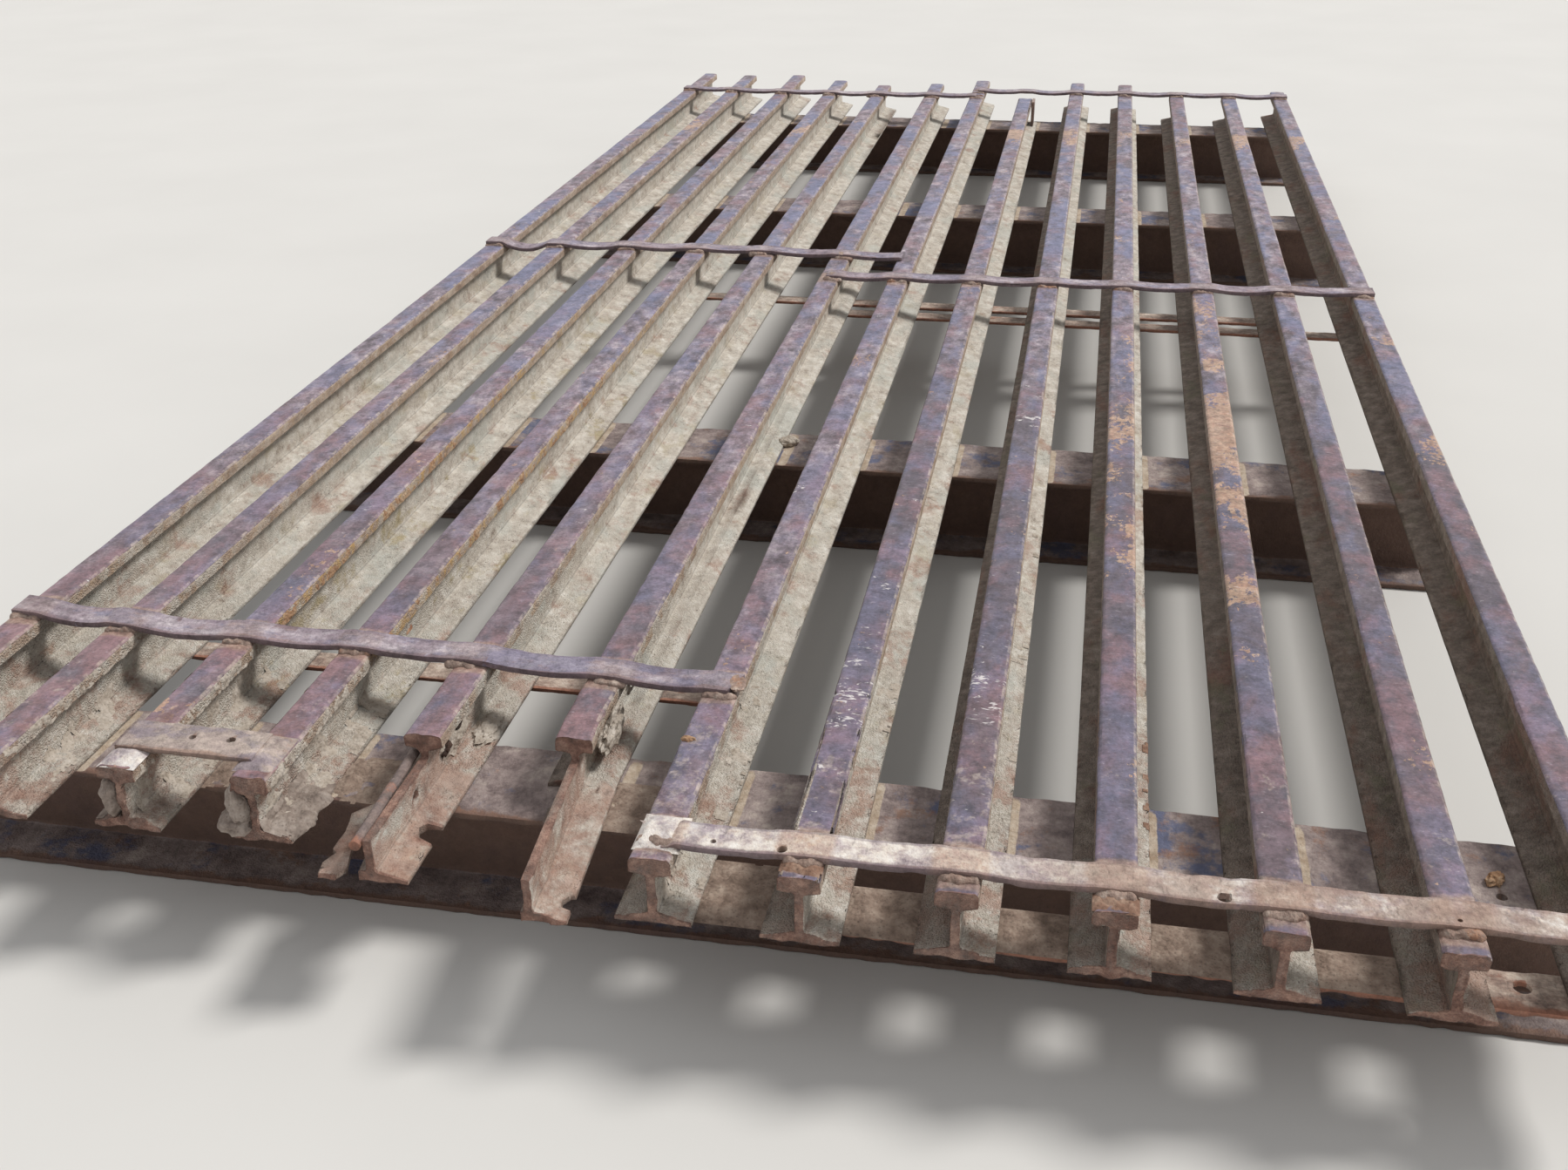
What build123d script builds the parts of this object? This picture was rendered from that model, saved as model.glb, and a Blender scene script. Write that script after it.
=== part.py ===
"""Cattle grid: thirteen old railway rails laid on four steel beams and tied by welded flat bars.

Millimetres, +Z up. X runs across the grid, from rail 1 on the left to rail 13 on the right, and Y runs
along the rails, from the broken front ends to the back. The ground is at Z 0, under the beams, and the
origin is on it, at the middle of the grid. Places along the rails are given as stations, measured from
the front edge of the front beam, and the whole grid is moved to its origin as it is written.
"""

from build123d import *
from math import hypot, radians, tan
import os

os.makedirs("parts", exist_ok=True)

# Rail section, a 65 lb/yd flat-bottom rail
rail_height = 112.7
foot_width = 112.7
foot_depth = 19.8
head_width = 61.1
head_depth = 32.5
web_thickness = 13.0
fishing_angle = 13.0
crown_radius = 305.0
head_corner_radius = 7.9
web_fillet_radius = 6.4
edge_radius = 1.6

# Rails, from left to right: the step to the next rail, and the stations of both ends
rail_steps = [193, 224, 214, 212, 231, 198, 210, 213, 208, 217, 218, 212]
front_stations = [-130, -136, -129, -124, -185, -233, -205, -210, -205, -208, -212, -215, -205]
back_stations = [5630, 5610, 5640, 5535, 5445, 5510, 5610, 5255, 5605, 5590, 5390, 5385, 5510]

# Wide-flange beams under the rails
beam_depth = 200.0
beam_flange_width = 195.0
beam_flange_thickness = 11.0
beam_web_thickness = 8.0
beam_fillet_radius = 10.0
beam_stations = {
    "front_cross_beam": 0.0,
    "front_middle_cross_beam": 1415.0,
    "rear_middle_cross_beam": 3645.0,
    "rear_cross_beam": 5115.0,
}

# Flat bars across the rail heads
top_bar_width = 57.0
top_bar_thickness = 11.0
top_bar_rest = 26.0
top_bar_end_margin = 28.0
front_left_bar_slant = 18.0
front_right_bar_slant = 47.0

# Flat bars under the rail feet
strap_width = 55.0
strap_thickness = 8.0
sole_plate_width = 80.0
sole_plate_thickness = 10.0
sole_plate_station = -175.0
front_strap_station = 378.0
middle_front_strap_station = 2524.0
middle_rear_strap_station = 2622.0
strap_end_margin = 40.0

# Broken ends of rails 5 and 6, whose heads are gone at the front
stub_web_height = 72.0
rail_5_head_station = 36.0
rail_6_head_station = 68.0
rail_6_bend_station = 130.0
rail_6_bend_drift = 25.0
fishplate_hole_radius = 11.0
fishplate_hole_station = -25.0
fishplate_hole_height = 40.0
peeled_strip_thickness = 9.0

# Small welded pieces
edge_rod_radius = 9.0
edge_rod_length = 262.0
edge_rod_overhang = 5.0
edge_rod_head_room = 5.2
edge_rod_splay = 2.0
patch_width = 74.0
patch_thickness = 9.0
patch_station = -82.0
patch_left_margin = 24.0
patch_right_margin = 10.0
side_plate_thickness = 12.0
side_plate_length = 90.0
side_plate_setback = 115.0

# A hair of room between a round or upright piece and the rail beside it
seat_gap = 0.2

rail_count = len(front_stations)
grid_width = sum(rail_steps)
rail_x = [sum(rail_steps[:index]) - grid_width / 2 for index in range(rail_count)]
mid_station = (min(front_stations) + max(back_stations)) / 2
rail_base = beam_depth
head_top = rail_base + rail_height
rail_7_x = rail_x[6]
half_foot = foot_width / 2
half_head = head_width / 2
half_web = web_thickness / 2
fishing_slope = tan(radians(fishing_angle))
foot_edge_height = foot_depth - half_foot * fishing_slope
parts = {}


def box(x_range, y_range, z_range):
    """A plain block between two values on each axis."""
    size = [high - low for low, high in (x_range, y_range, z_range)]
    middle = [(high + low) / 2 for low, high in (x_range, y_range, z_range)]
    return Pos(*middle) * Box(*size)


def prism(outline, z_range):
    """An upright block with the plan outline given as (x, station) points."""
    face = make_face(Polyline(*outline, close=True))
    return Pos(0, 0, z_range[0]) * extrude(face, amount=z_range[1] - z_range[0])


def rounded(face, corners, radius):
    """The face with the corners nearest to the given points rounded."""
    vertices = [face.vertices().sort_by_distance(Vertex(x, y, 0))[0] for x, y in corners]
    return fillet(vertices, radius)


def mirrored(points):
    """The points and their mirror images across the section's upright axis."""
    return points + [(-x, z) for x, z in points]


def rail_section():
    """The rail's section, its foot's middle at the origin and its head up."""
    head_root = rail_height - head_depth
    shoulder = rail_height - half_head**2 / (2 * crown_radius)
    foot_edge = (half_foot, foot_edge_height)
    foot_root = (half_web, foot_depth - half_web * fishing_slope)
    web_root = (half_web, head_root + half_web * fishing_slope)
    head_edge = (half_head, head_root + half_head * fishing_slope)
    head_corner = (half_head, shoulder)
    right = [(half_foot, 0), foot_edge, foot_root, web_root, head_edge, head_corner]
    left = [(-x, z) for x, z in reversed(right)]
    crown = ThreePointArc(head_corner, (0, rail_height), left[0])
    face = make_face(Polyline(*right) + crown + Polyline(*left) + Line(left[-1], right[0]))
    face = rounded(face, mirrored([head_corner]), head_corner_radius)
    face = rounded(face, mirrored([foot_root, web_root]), web_fillet_radius)
    return rounded(face, mirrored([foot_edge, head_edge]), edge_radius)


def beam_section():
    """The wide-flange section, its underside's middle at the origin."""
    half_flange = beam_flange_width / 2
    half_beam_web = beam_web_thickness / 2
    upper = beam_depth - beam_flange_thickness
    right = [
        (half_flange, 0),
        (half_flange, beam_flange_thickness),
        (half_beam_web, beam_flange_thickness),
        (half_beam_web, upper),
        (half_flange, upper),
        (half_flange, beam_depth),
    ]
    left = [(-x, z) for x, z in reversed(right)]
    face = make_face(Polyline(*right, *left, close=True))
    roots = mirrored([(half_beam_web, beam_flange_thickness), (half_beam_web, upper)])
    return rounded(face, roots, beam_fillet_radius)


def rail(index, front, back):
    """A length of rail at its place on the beams, from one station to another."""
    length = back - front
    return Pos(rail_x[index], front, rail_base) * extrude(Plane.XZ * rail_section(), amount=-length)


def without_head(shape, index, station, front):
    """The rail with its head and upper web gone ahead of a station."""
    middle = rail_x[index]
    gone = box(
        (middle - head_width, middle + head_width),
        (front - 1, station),
        (rail_base + stub_web_height, head_top + 1),
    )
    return shape - gone


def torn_foot(shape, index, outline):
    """The rail with the given plan outline, measured from its own middle, torn out of its foot."""
    middle = rail_x[index]
    plan = [(middle + x, station) for x, station in outline]
    return shape - prism(plan, (rail_base - 1, rail_base + foot_depth + web_fillet_radius))


def peeled_strip(index):
    """The edge of the foot that tore loose at the front and bent outward, still held at its back."""
    outer = [(-50, 12), (-70, -8), (-95, -41), (-85, -85), (-86, -130), (-76, -138), (-86, -163), (-83, -191)]
    inner = [(-54, -194), (-44, -170), (-56, -128), (-64, -84), (-66, -52), (-44, -30)]
    plan = [(rail_x[index] + x, station) for x, station in outer + inner]
    return prism(plan, (rail_base, rail_base + peeled_strip_thickness))


def rail_5():
    """Rail 5: head cut back, a drilled stub of web left, its foot notched right and peeled left."""
    index = 4
    front = front_stations[index]
    shape = rail(index, front, back_stations[index])
    shape = without_head(shape, index, rail_5_head_station, front)
    notch = [(62, -48), (34, -50), (26, -64), (34, -84), (62, -92)]
    shape = torn_foot(shape, index, notch)
    left_tear = [(-62, 20), (-50, 4), (-53, -30), (-44, -62), (-48, -96), (-30, -118), (-20, front - 1)]
    shape = torn_foot(shape, index, left_tear + [(-62, front - 1)])
    shape += peeled_strip(index)
    drill = Pos(rail_x[index], fishplate_hole_station, rail_base + fishplate_hole_height)
    return shape - drill * Rot(0, 90, 0) * Cylinder(fishplate_hole_radius, foot_width)


def rail_6():
    """Rail 6: head cut back, the stub bent to the right, its foot torn away left and notched right."""
    index = 5
    front = front_stations[index]
    shape = rail(index, rail_6_bend_station, back_stations[index])
    run = rail_6_bend_station - front
    place = Pos(rail_x[index], rail_6_bend_station, rail_base)
    lean = (rail_6_bend_drift, -run, 0)
    shape += place * extrude(Plane.XZ * rail_section(), amount=hypot(*lean), dir=lean)
    shape = without_head(shape, index, rail_6_head_station, front)
    left_slot = [(-62, 92), (-26, 97), (-23, 128), (-12, 130), (-13, 42)]
    left_stump = [(-19, 33), (-29, 24), (-25, -18), (-9, -45)]
    left_tear = left_slot + left_stump + [(14, front - 1), (-62, front - 1)]
    right_notch = [(96, -168), (70, -174), (62, -188), (66, -202), (96, -206)]
    return torn_foot(torn_foot(shape, index, left_tear), index, right_notch)


def rail_4():
    """Rail 4: cut short, the tip of its foot broken off on the left."""
    index = 3
    front = front_stations[index]
    tip = [(-62, front + 34), (-46, front + 22), (-40, front - 1), (-62, front - 1)]
    return torn_foot(rail(index, front, back_stations[index]), index, tip)


def rail_8():
    """Rail 8: torn off short at the back, its head shorter than its foot."""
    index = 7
    back = back_stations[index]
    middle = rail_x[index]
    tear = [(-62, back - 12), (10, back - 38), (62, back + 1), (-62, back + 1)]
    plan = [(middle + x, station) for x, station in tear]
    head = prism(plan, (rail_base + stub_web_height, head_top + 1))
    return rail(index, front_stations[index], back) - head


def beam(station):
    """A cross beam, its flanges' front edges at a station, as wide as the rail feet reach."""
    length = grid_width + foot_width
    middle = station + beam_flange_width / 2
    return Pos(-length / 2, middle, 0) * extrude(Plane.YZ * beam_section(), amount=length)


def top_bar(first, last, stations, sags, starts=None, ends=None, left_slant=0, right_slant=0):
    """A flat bar welded over the heads of some rails, sagging between them and wandering in plan.

    stations holds the front edge's stations at even steps along it, and sags the dip in each gap. The
    slants are how far the back corner of each end reaches past its front corner.
    """
    near_left = rail_x[first] - top_bar_end_margin if starts is None else rail_x[first] + starts
    near_right = rail_x[last] + top_bar_end_margin if ends is None else rail_x[last] + ends
    left = near_left - left_slant
    right = near_right + right_slant
    lower = []
    at = left
    for index, sag in zip(range(first, last), sags):
        leaves = rail_x[index] + top_bar_rest
        lands = rail_x[index + 1] - top_bar_rest
        if leaves > at:
            lower.append(Line((at, 0), (leaves, 0)))
        lower.append(ThreePointArc((leaves, 0), ((leaves + lands) / 2, -sag), (lands, 0)))
        at = lands
    lower.append(Line((at, 0), (right, 0)))
    upper = [Pos(0, top_bar_thickness) * edge for edge in lower]
    sides = [Line((left, 0), (left, top_bar_thickness)), Line((right, 0), (right, top_bar_thickness))]
    side_face = make_face(Curve() + lower + upper + sides)
    front, back = min(stations), max(stations) + top_bar_width
    shape = Pos(0, front, head_top) * extrude(Plane.XZ * side_face, amount=front - back)
    step = (near_right - near_left) / (len(stations) - 1)
    near = [(near_left + step * place, station) for place, station in enumerate(stations)]
    far = [(x, station + top_bar_width) for x, station in near]
    far = [(left, far[0][1]), *far[1:-1], (right, far[-1][1])][::-1]
    depth = max(sags) + 1
    return shape & prism(near + far, (head_top - depth, head_top + top_bar_thickness + 1))


def under_bar(first, last, station, width, thickness, left_reach, right_reach):
    """A flat bar under the feet of some rails, with its ends set from the outer rails' middles."""
    x_range = (rail_x[first] + left_reach, rail_x[last] + right_reach)
    return box(x_range, (station, station + width), (rail_base - thickness, rail_base))


def drilled(shape, holes, z):
    """The shape with upright round holes: distance right of rail 7, station, radius."""
    for offset, station, radius in holes:
        shape -= Pos(rail_7_x + offset, station, z) * Cylinder(radius, 4 * top_bar_thickness)
    return shape


special_rails = {3: rail_4, 4: rail_5, 5: rail_6, 7: rail_8}
for index in range(rail_count):
    if index in special_rails:
        shape = special_rails[index]()
    else:
        shape = rail(index, front_stations[index], back_stations[index])
    parts[f"rail_{index + 1:02d}"] = shape

for name, station in beam_stations.items():
    parts[name] = beam(station)

parts["front_cross_beam"] = drilled(parts["front_cross_beam"], [(1179, 65, 7.5)], rail_base)

parts["front_left_top_bar"] = top_bar(
    0, 6, [283, 260, 262, 248, 230], [8, 6, 5, 4, 7, 5], ends=14, right_slant=front_left_bar_slant
)
parts["middle_left_top_bar"] = top_bar(0, 6, [2692, 2708, 2720, 2706], [19, 8, 5, 4, 5, 4], ends=-12)
parts["middle_right_top_bar"] = top_bar(5, 12, [2496, 2518, 2528, 2554], [5, 4, 6, 4, 5, 7, 4], starts=-6)
parts["rear_left_top_bar"] = top_bar(0, 6, [5216, 5194, 5198, 5202], [4, 5, 4, 6, 5, 4], ends=0)
parts["rear_right_top_bar"] = top_bar(6, 12, [5320, 5330, 5334, 5344], [5, 7, 4, 5, 4, 6], starts=2)
front_right = top_bar(
    6, 12, [-177, -171, -174, -170], [4, 3, 5, 4, 3, 4], starts=11, left_slant=front_right_bar_slant
)
front_right_holes = [(81, -158, 4), (179, -162, 6), (770, -160, 8.5), (1063, -160, 3)]
parts["front_right_top_bar"] = drilled(front_right, front_right_holes, head_top)

sole_plate = under_bar(
    6, 12, sole_plate_station, sole_plate_width, sole_plate_thickness, -strap_end_margin, half_foot
)
sole_plate_holes = [(309, -130, 13), (745, -132, 11), (954, -136, 9), (1168, -128, 11)]
parts["front_sole_plate"] = drilled(sole_plate, sole_plate_holes, rail_base)

for name, first, last, station, left_reach, right_reach in (
    ("front_under_strap", 1, 6, front_strap_station, -half_foot, strap_end_margin / 2),
    ("middle_under_strap_front", 5, 12, middle_front_strap_station, -strap_end_margin, strap_end_margin),
    ("middle_under_strap_rear", 3, 11, middle_rear_strap_station, -strap_end_margin, strap_end_margin),
):
    parts[name] = under_bar(first, last, station, strap_width, strap_thickness, left_reach, right_reach)

patch = box(
    (rail_x[2] - patch_left_margin, rail_x[3] - patch_right_margin),
    (patch_station, patch_station + patch_width),
    (head_top, head_top + patch_thickness),
)
parts["patch_plate"] = drilled(patch, [(-770, -40, 5), (-707, -38, 7)], head_top)

rod_offset = half_web + seat_gap + edge_rod_radius
rod = Rot(0, 0, edge_rod_splay) * extrude(Plane.XZ * Circle(edge_rod_radius), amount=-edge_rod_length)
rod_height = rail_height - head_depth - edge_rod_head_room - edge_rod_radius
rod_place = Pos(rail_x[4] - rod_offset, front_stations[4] - edge_rod_overhang, rail_base + rod_height)
parts["edge_rod"] = rod_place * rod

side_plate_inset = half_head + seat_gap
side_plate_station = back_stations[7] - side_plate_setback
side_plate_seat = foot_depth - side_plate_inset * fishing_slope + seat_gap
parts["torn_side_plate"] = box(
    (rail_x[7] + side_plate_inset, rail_x[7] + side_plate_inset + side_plate_thickness),
    (side_plate_station, side_plate_station + side_plate_length),
    (rail_base + side_plate_seat, head_top),
)

for name, shape in parts.items():
    solid = Pos(0, -mid_station, 0) * shape
    export_step(solid, f"parts/{name}.step")
    print(f"{name}: {len(solid.solids())} solid, {solid.volume / 1e6:.2f} litres")
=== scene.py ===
"""Looks of the cattle grid: worn rails, beams and flat bars, their weld beads, dirt, studio and camera.

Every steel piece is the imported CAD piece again, cut into small faces and worn: pitted, nibbled along its
edges and caked with dirt. Metres, in the frame's axes: X across the rails, Y along them, Z up. Places
along the rails are stations, measured from the front edge of the front beam.
"""

import logging
import math
from dataclasses import dataclass, field
from enum import Enum

import bmesh
import bpy
from mathutils import Matrix, Vector, noise


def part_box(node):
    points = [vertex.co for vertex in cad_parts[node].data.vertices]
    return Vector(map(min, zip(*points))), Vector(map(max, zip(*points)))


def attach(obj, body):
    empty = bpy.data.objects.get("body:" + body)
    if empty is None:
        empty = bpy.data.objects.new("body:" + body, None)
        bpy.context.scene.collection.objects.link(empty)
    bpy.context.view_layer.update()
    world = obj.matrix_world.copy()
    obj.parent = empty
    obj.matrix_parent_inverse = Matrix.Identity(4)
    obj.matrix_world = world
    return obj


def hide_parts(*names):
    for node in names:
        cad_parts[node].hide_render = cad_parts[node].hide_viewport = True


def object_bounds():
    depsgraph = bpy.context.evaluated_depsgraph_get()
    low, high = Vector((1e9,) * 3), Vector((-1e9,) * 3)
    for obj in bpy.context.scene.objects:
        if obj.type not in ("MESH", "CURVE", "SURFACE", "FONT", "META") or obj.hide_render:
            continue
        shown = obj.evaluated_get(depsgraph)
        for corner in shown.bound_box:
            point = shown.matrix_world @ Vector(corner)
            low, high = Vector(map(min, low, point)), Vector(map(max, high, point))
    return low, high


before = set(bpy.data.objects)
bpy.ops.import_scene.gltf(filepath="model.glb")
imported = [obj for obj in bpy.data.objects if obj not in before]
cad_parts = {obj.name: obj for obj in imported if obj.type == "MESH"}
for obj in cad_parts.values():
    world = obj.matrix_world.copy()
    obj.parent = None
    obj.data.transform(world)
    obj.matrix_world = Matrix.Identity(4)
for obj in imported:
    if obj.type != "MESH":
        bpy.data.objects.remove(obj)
CAD_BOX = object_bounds()

LOG = logging.getLogger("cattle_grid")
ROOT = "root"
MM = 0.001
# Heights above a rail foot's underside, in metres: the foot's edge, the caked web, the head and its crown
FOOT_EDGE_TOP = 0.024
WEB_SPAN = (0.012, 0.078)
HEAD_SPAN = (0.076, 0.086)
HEAD_SIDE_FROM = 0.08
CROWN_FROM = 0.1
# Where a rail is sliced, in metres from its middle and above its foot
RAIL_SLICES_X = (-0.046, -0.032, -0.018, 0.018, 0.032, 0.046)
RAIL_SLICES_Z = (0.030, 0.042, 0.054, 0.066, 0.094)
# Where a beam is sliced beside each rail, so that the dust along the rail's foot has points to lie on
DUST_SLICES = (0.050, 0.058, 0.066, 0.072, 0.079)
# Shader noise has no layers finer than this many lumps per metre, which no picture shows
FINEST = 500.0
RAIL_COUNT = 13
RAIL_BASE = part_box("rail_01")[0].z
HEAD_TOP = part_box("rail_01")[1].z
FRONT_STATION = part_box("front_cross_beam")[0].y
RAIL_BOXES = [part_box(f"rail_{i + 1:02d}") for i in range(RAIL_COUNT)]
RAIL_X = [(low.x + high.x) / 2 for low, high in RAIL_BOXES]

Socket = bpy.types.NodeSocket
Material = bpy.types.Material
Object = bpy.types.Object
Mesh = bmesh.types.BMesh
Colour = tuple[int, int, int]
Stops = tuple[tuple[float, Colour], ...]


def linear(colour: Colour) -> tuple[float, float, float, float]:
    """Turns a colour as a screen shows it into the light that a shader works with.

    Args:
        colour: Red, green and blue from 0 to 255.

    Returns:
        The same colour in linear light, with full alpha.
    """
    shares = [value / 255 for value in colour]
    light = [share / 12.92 if share <= 0.04045 else ((share + 0.055) / 1.055) ** 2.4 for share in shares]
    return (light[0], light[1], light[2], 1.0)


def ramp(low: float, high: float, value: float) -> float:
    """A smooth step from 0 at low to 1 at high, or down where low is the larger."""
    share = min(1.0, max(0.0, (value - low) / (high - low)))
    return share * share * (3 - 2 * share)


def station_of(y: float) -> float:
    """The station, in metres from the front beam's front edge, of a place along Y."""
    return y - FRONT_STATION


def rough(point: Vector, scale: float, seed: float = 0.0) -> float:
    """Smooth noise from about -1 to 1 at a point, with so many lumps per metre."""
    return noise.noise(point * scale + Vector((seed, 1.7 * seed, 2.3 * seed)))


def lumps(point: Vector, scale: float, seed: float = 0.0) -> float:
    """Noise of several sizes at once, from about -1 to 1, for broken and caked surfaces."""
    value = rough(point, scale, seed) + 0.5 * rough(point, 2.3 * scale, seed + 5)
    return (value + 0.3 * rough(point, 5.1 * scale, seed + 9)) / 1.3


def span_at(node: str, x: float) -> tuple[float, float] | None:
    """Where a CAD bar crosses a place along X.

    Args:
        node: The bar's node.
        x: The place, in metres.

    Returns:
        The bar's front and back edge there along Y, or None where it doesn't reach.
    """
    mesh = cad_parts[node].data
    found = []
    for edge in mesh.edges:
        first, second = (mesh.vertices[end].co for end in edge.vertices)
        if (first.x - x) * (second.x - x) < 0:
            found.append(first.y + (x - first.x) / (second.x - first.x) * (second.y - first.y))
    return (min(found), max(found)) if found else None


class Axis(Enum):
    """A direction to slice a mesh across."""

    X = 0
    Y = 1
    Z = 2


class NodeBoard:
    """A material's shader nodes, with a short call for each kind that the finishes use."""

    def __init__(self, name: str) -> None:
        """Starts a material with a Principled shader and object coordinates.

        Args:
            name: The material's name.
        """
        self.material = bpy.data.materials.new(name)
        self.material.use_nodes = True
        self.tree = self.material.node_tree
        self.tree.nodes.clear()
        output = self.add("ShaderNodeOutputMaterial")
        self.shader = self.add("ShaderNodeBsdfPrincipled")
        self.link(self.shader.outputs["BSDF"], output.inputs["Surface"])
        self.coordinates = self.add("ShaderNodeTexCoord").outputs["Object"]

    def add(self, kind: str) -> bpy.types.Node:
        """A new node of a kind."""
        return self.tree.nodes.new(kind)

    def link(self, source: Socket, target: Socket) -> None:
        """Joins an output to an input."""
        self.tree.links.new(source, target)

    def feed(self, target: Socket, value: object) -> None:
        """Gives an input either a link or a plain value.

        Args:
            target: The input.
            value: An output socket to link, a colour as a screen shows it, or a number.
        """
        if isinstance(value, Socket):
            self.link(value, target)
        elif isinstance(value, tuple):
            target.default_value = linear(value)
        else:
            target.default_value = value

    def stretched(self, stretch: tuple[float, float, float]) -> Socket:
        """Object coordinates scaled by axis, which draws a pattern out where the scale is small.

        Args:
            stretch: The scale along each axis.

        Returns:
            The coordinates' socket.
        """
        mapping = self.add("ShaderNodeMapping")
        mapping.inputs["Scale"].default_value = stretch
        self.link(self.coordinates, mapping.inputs["Vector"])
        return mapping.outputs["Vector"]

    def cloud(
        self,
        scale: float,
        detail: float = 5.0,
        roughness: float = 0.6,
        stretch: tuple[float, float, float] = (1, 1, 1),
        distortion: float = 0.0,
        seed: float = 0.0,
    ) -> Socket:
        """A noise pattern, without the layers that are too fine to be seen.

        Args:
            scale: Lumps per metre.
            detail: How many finer layers it has.
            roughness: How strong the finer layers are.
            stretch: The scale along each axis.
            distortion: How much it swirls.
            seed: Moves the pattern.

        Returns:
            The noise, about 0.5 in the middle.
        """
        node = self.add("ShaderNodeTexNoise")
        node.noise_dimensions = "4D"
        node.inputs["W"].default_value = seed
        node.inputs["Scale"].default_value = scale
        kept = max(1.0, min(detail, round(math.log2(FINEST / scale))))
        node.inputs["Detail"].default_value = kept
        node.inputs["Roughness"].default_value = roughness
        node.inputs["Distortion"].default_value = distortion
        self.link(self.stretched(stretch), node.inputs["Vector"])
        if kept == detail:
            return node.outputs[0]
        calm = (1 - roughness ** (kept + 1)) / (1 - roughness ** (detail + 1))
        return self.plus(self.times(node.outputs[0], calm), 0.5 - 0.5 * calm)

    def cells(self, scale: float, stretch: tuple[float, float, float] = (1, 1, 1)) -> Socket:
        """The distance to the nearest of many scattered points, which reads as grains or flakes.

        Args:
            scale: Points per metre.
            stretch: The scale along each axis.

        Returns:
            The distance's socket.
        """
        node = self.add("ShaderNodeTexVoronoi")
        node.inputs["Scale"].default_value = scale
        node.inputs["Randomness"].default_value = 1.0
        self.link(self.stretched(stretch), node.inputs["Vector"])
        return node.outputs["Distance"]

    def painted(self, name: str, weight: object = 1.0) -> Socket:
        """A mask that the piece's own points carry.

        Args:
            name: The mask's name.
            weight: What it is multiplied by, a socket or a number.

        Returns:
            The weighted mask's socket.
        """
        node = self.add("ShaderNodeAttribute")
        node.attribute_name = name
        return self.times(node.outputs["Fac"], weight)

    def maths(self, operation: str, first: object, second: object) -> Socket:
        """The result of a Math node.

        Args:
            operation: The node's own name for it, such as MULTIPLY.
            first: A socket or a number.
            second: A socket or a number.

        Returns:
            The result's socket.
        """
        node = self.add("ShaderNodeMath")
        node.operation = operation
        self.feed(node.inputs[0], first)
        self.feed(node.inputs[1], second)
        return node.outputs[0]

    def times(self, first: object, second: object) -> Socket:
        """Two values multiplied."""
        return self.maths("MULTIPLY", first, second)

    def plus(self, first: object, second: object) -> Socket:
        """Two values added."""
        return self.maths("ADD", first, second)

    def step(self, value: Socket, low: float, high: float) -> Socket:
        """A smooth step from 0 at low to 1 at high.

        Args:
            value: The value to read it at.
            low: Where the step starts.
            high: Where it ends.

        Returns:
            The step's socket.
        """
        node = self.add("ShaderNodeMapRange")
        node.interpolation_type = "SMOOTHSTEP"
        node.inputs["From Min"].default_value = low
        node.inputs["From Max"].default_value = high
        self.link(value, node.inputs["Value"])
        return node.outputs["Result"]

    def colours(self, value: Socket, stops: Stops) -> Socket:
        """A colour for each value, from a few stops.

        Args:
            value: The value to colour.
            stops: A place from 0 to 1 and its colour, each.

        Returns:
            The colour's socket.
        """
        node = self.add("ShaderNodeValToRGB")
        marks = node.color_ramp.elements
        while len(marks) < len(stops):
            marks.new(1.0)
        for mark, (place, colour) in zip(marks, stops):
            mark.position = place
            mark.color = linear(colour)
        self.link(value, node.inputs["Fac"])
        return node.outputs["Color"]

    def blend(self, share: object, under: object, over: object) -> Socket:
        """One colour laid over another.

        Args:
            share: How much of the upper colour shows, a socket or a number.
            under: The lower colour.
            over: The upper colour.

        Returns:
            The mixed colour's socket.
        """
        node = self.add("ShaderNodeMix")
        node.data_type = "RGBA"
        self.feed(node.inputs[0], share)
        self.feed(node.inputs[6], under)
        self.feed(node.inputs[7], over)
        return node.outputs[2]

    def laid(
        self, under: object, over: object, pattern: Socket, low: float, high: float, share: object = 1.0
    ) -> Socket:
        """A colour laid over another, by a share that grows as a pattern rises from low to high."""
        shown = self.times(self.step(pattern, low, high), share)
        return self.blend(shown, under, over)

    def mottled(self, colour: object, scale: float, share: float, seed: float = 0.0) -> Socket:
        """A colour with light and dark blotches and grain laid over it.

        Args:
            colour: The colour.
            scale: Blotches per metre.
            share: How strong they are, from 0 to 1.
            seed: Moves the pattern.

        Returns:
            The blotched colour's socket.
        """
        coarse = self.times(self.cloud(scale, 8, 0.76, seed=seed), 0.62)
        grain = self.times(self.cloud(scale * 4.3, 6, 0.78, seed=seed + 1), 0.38)
        greys = ((0.41, (104, 104, 104)), (0.50, (188, 188, 188)), (0.60, (236, 236, 236)))
        node = self.add("ShaderNodeMix")
        node.data_type = "RGBA"
        node.blend_type = "OVERLAY"
        self.feed(node.inputs[0], share)
        self.feed(node.inputs[6], colour)
        self.feed(node.inputs[7], self.colours(self.plus(coarse, grain), greys))
        return node.outputs[2]

    def relief(self, height: Socket, strength: float, depth: float) -> None:
        """Gives the surface small relief.

        Args:
            height: The pattern that it rises and falls by.
            strength: How strong it is, from 0 to 1.
            depth: Its depth in metres.
        """
        node = self.add("ShaderNodeBump")
        node.inputs["Strength"].default_value = strength
        node.inputs["Distance"].default_value = depth
        self.link(height, node.inputs["Height"])
        self.link(node.outputs["Normal"], self.shader.inputs["Normal"])

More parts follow.
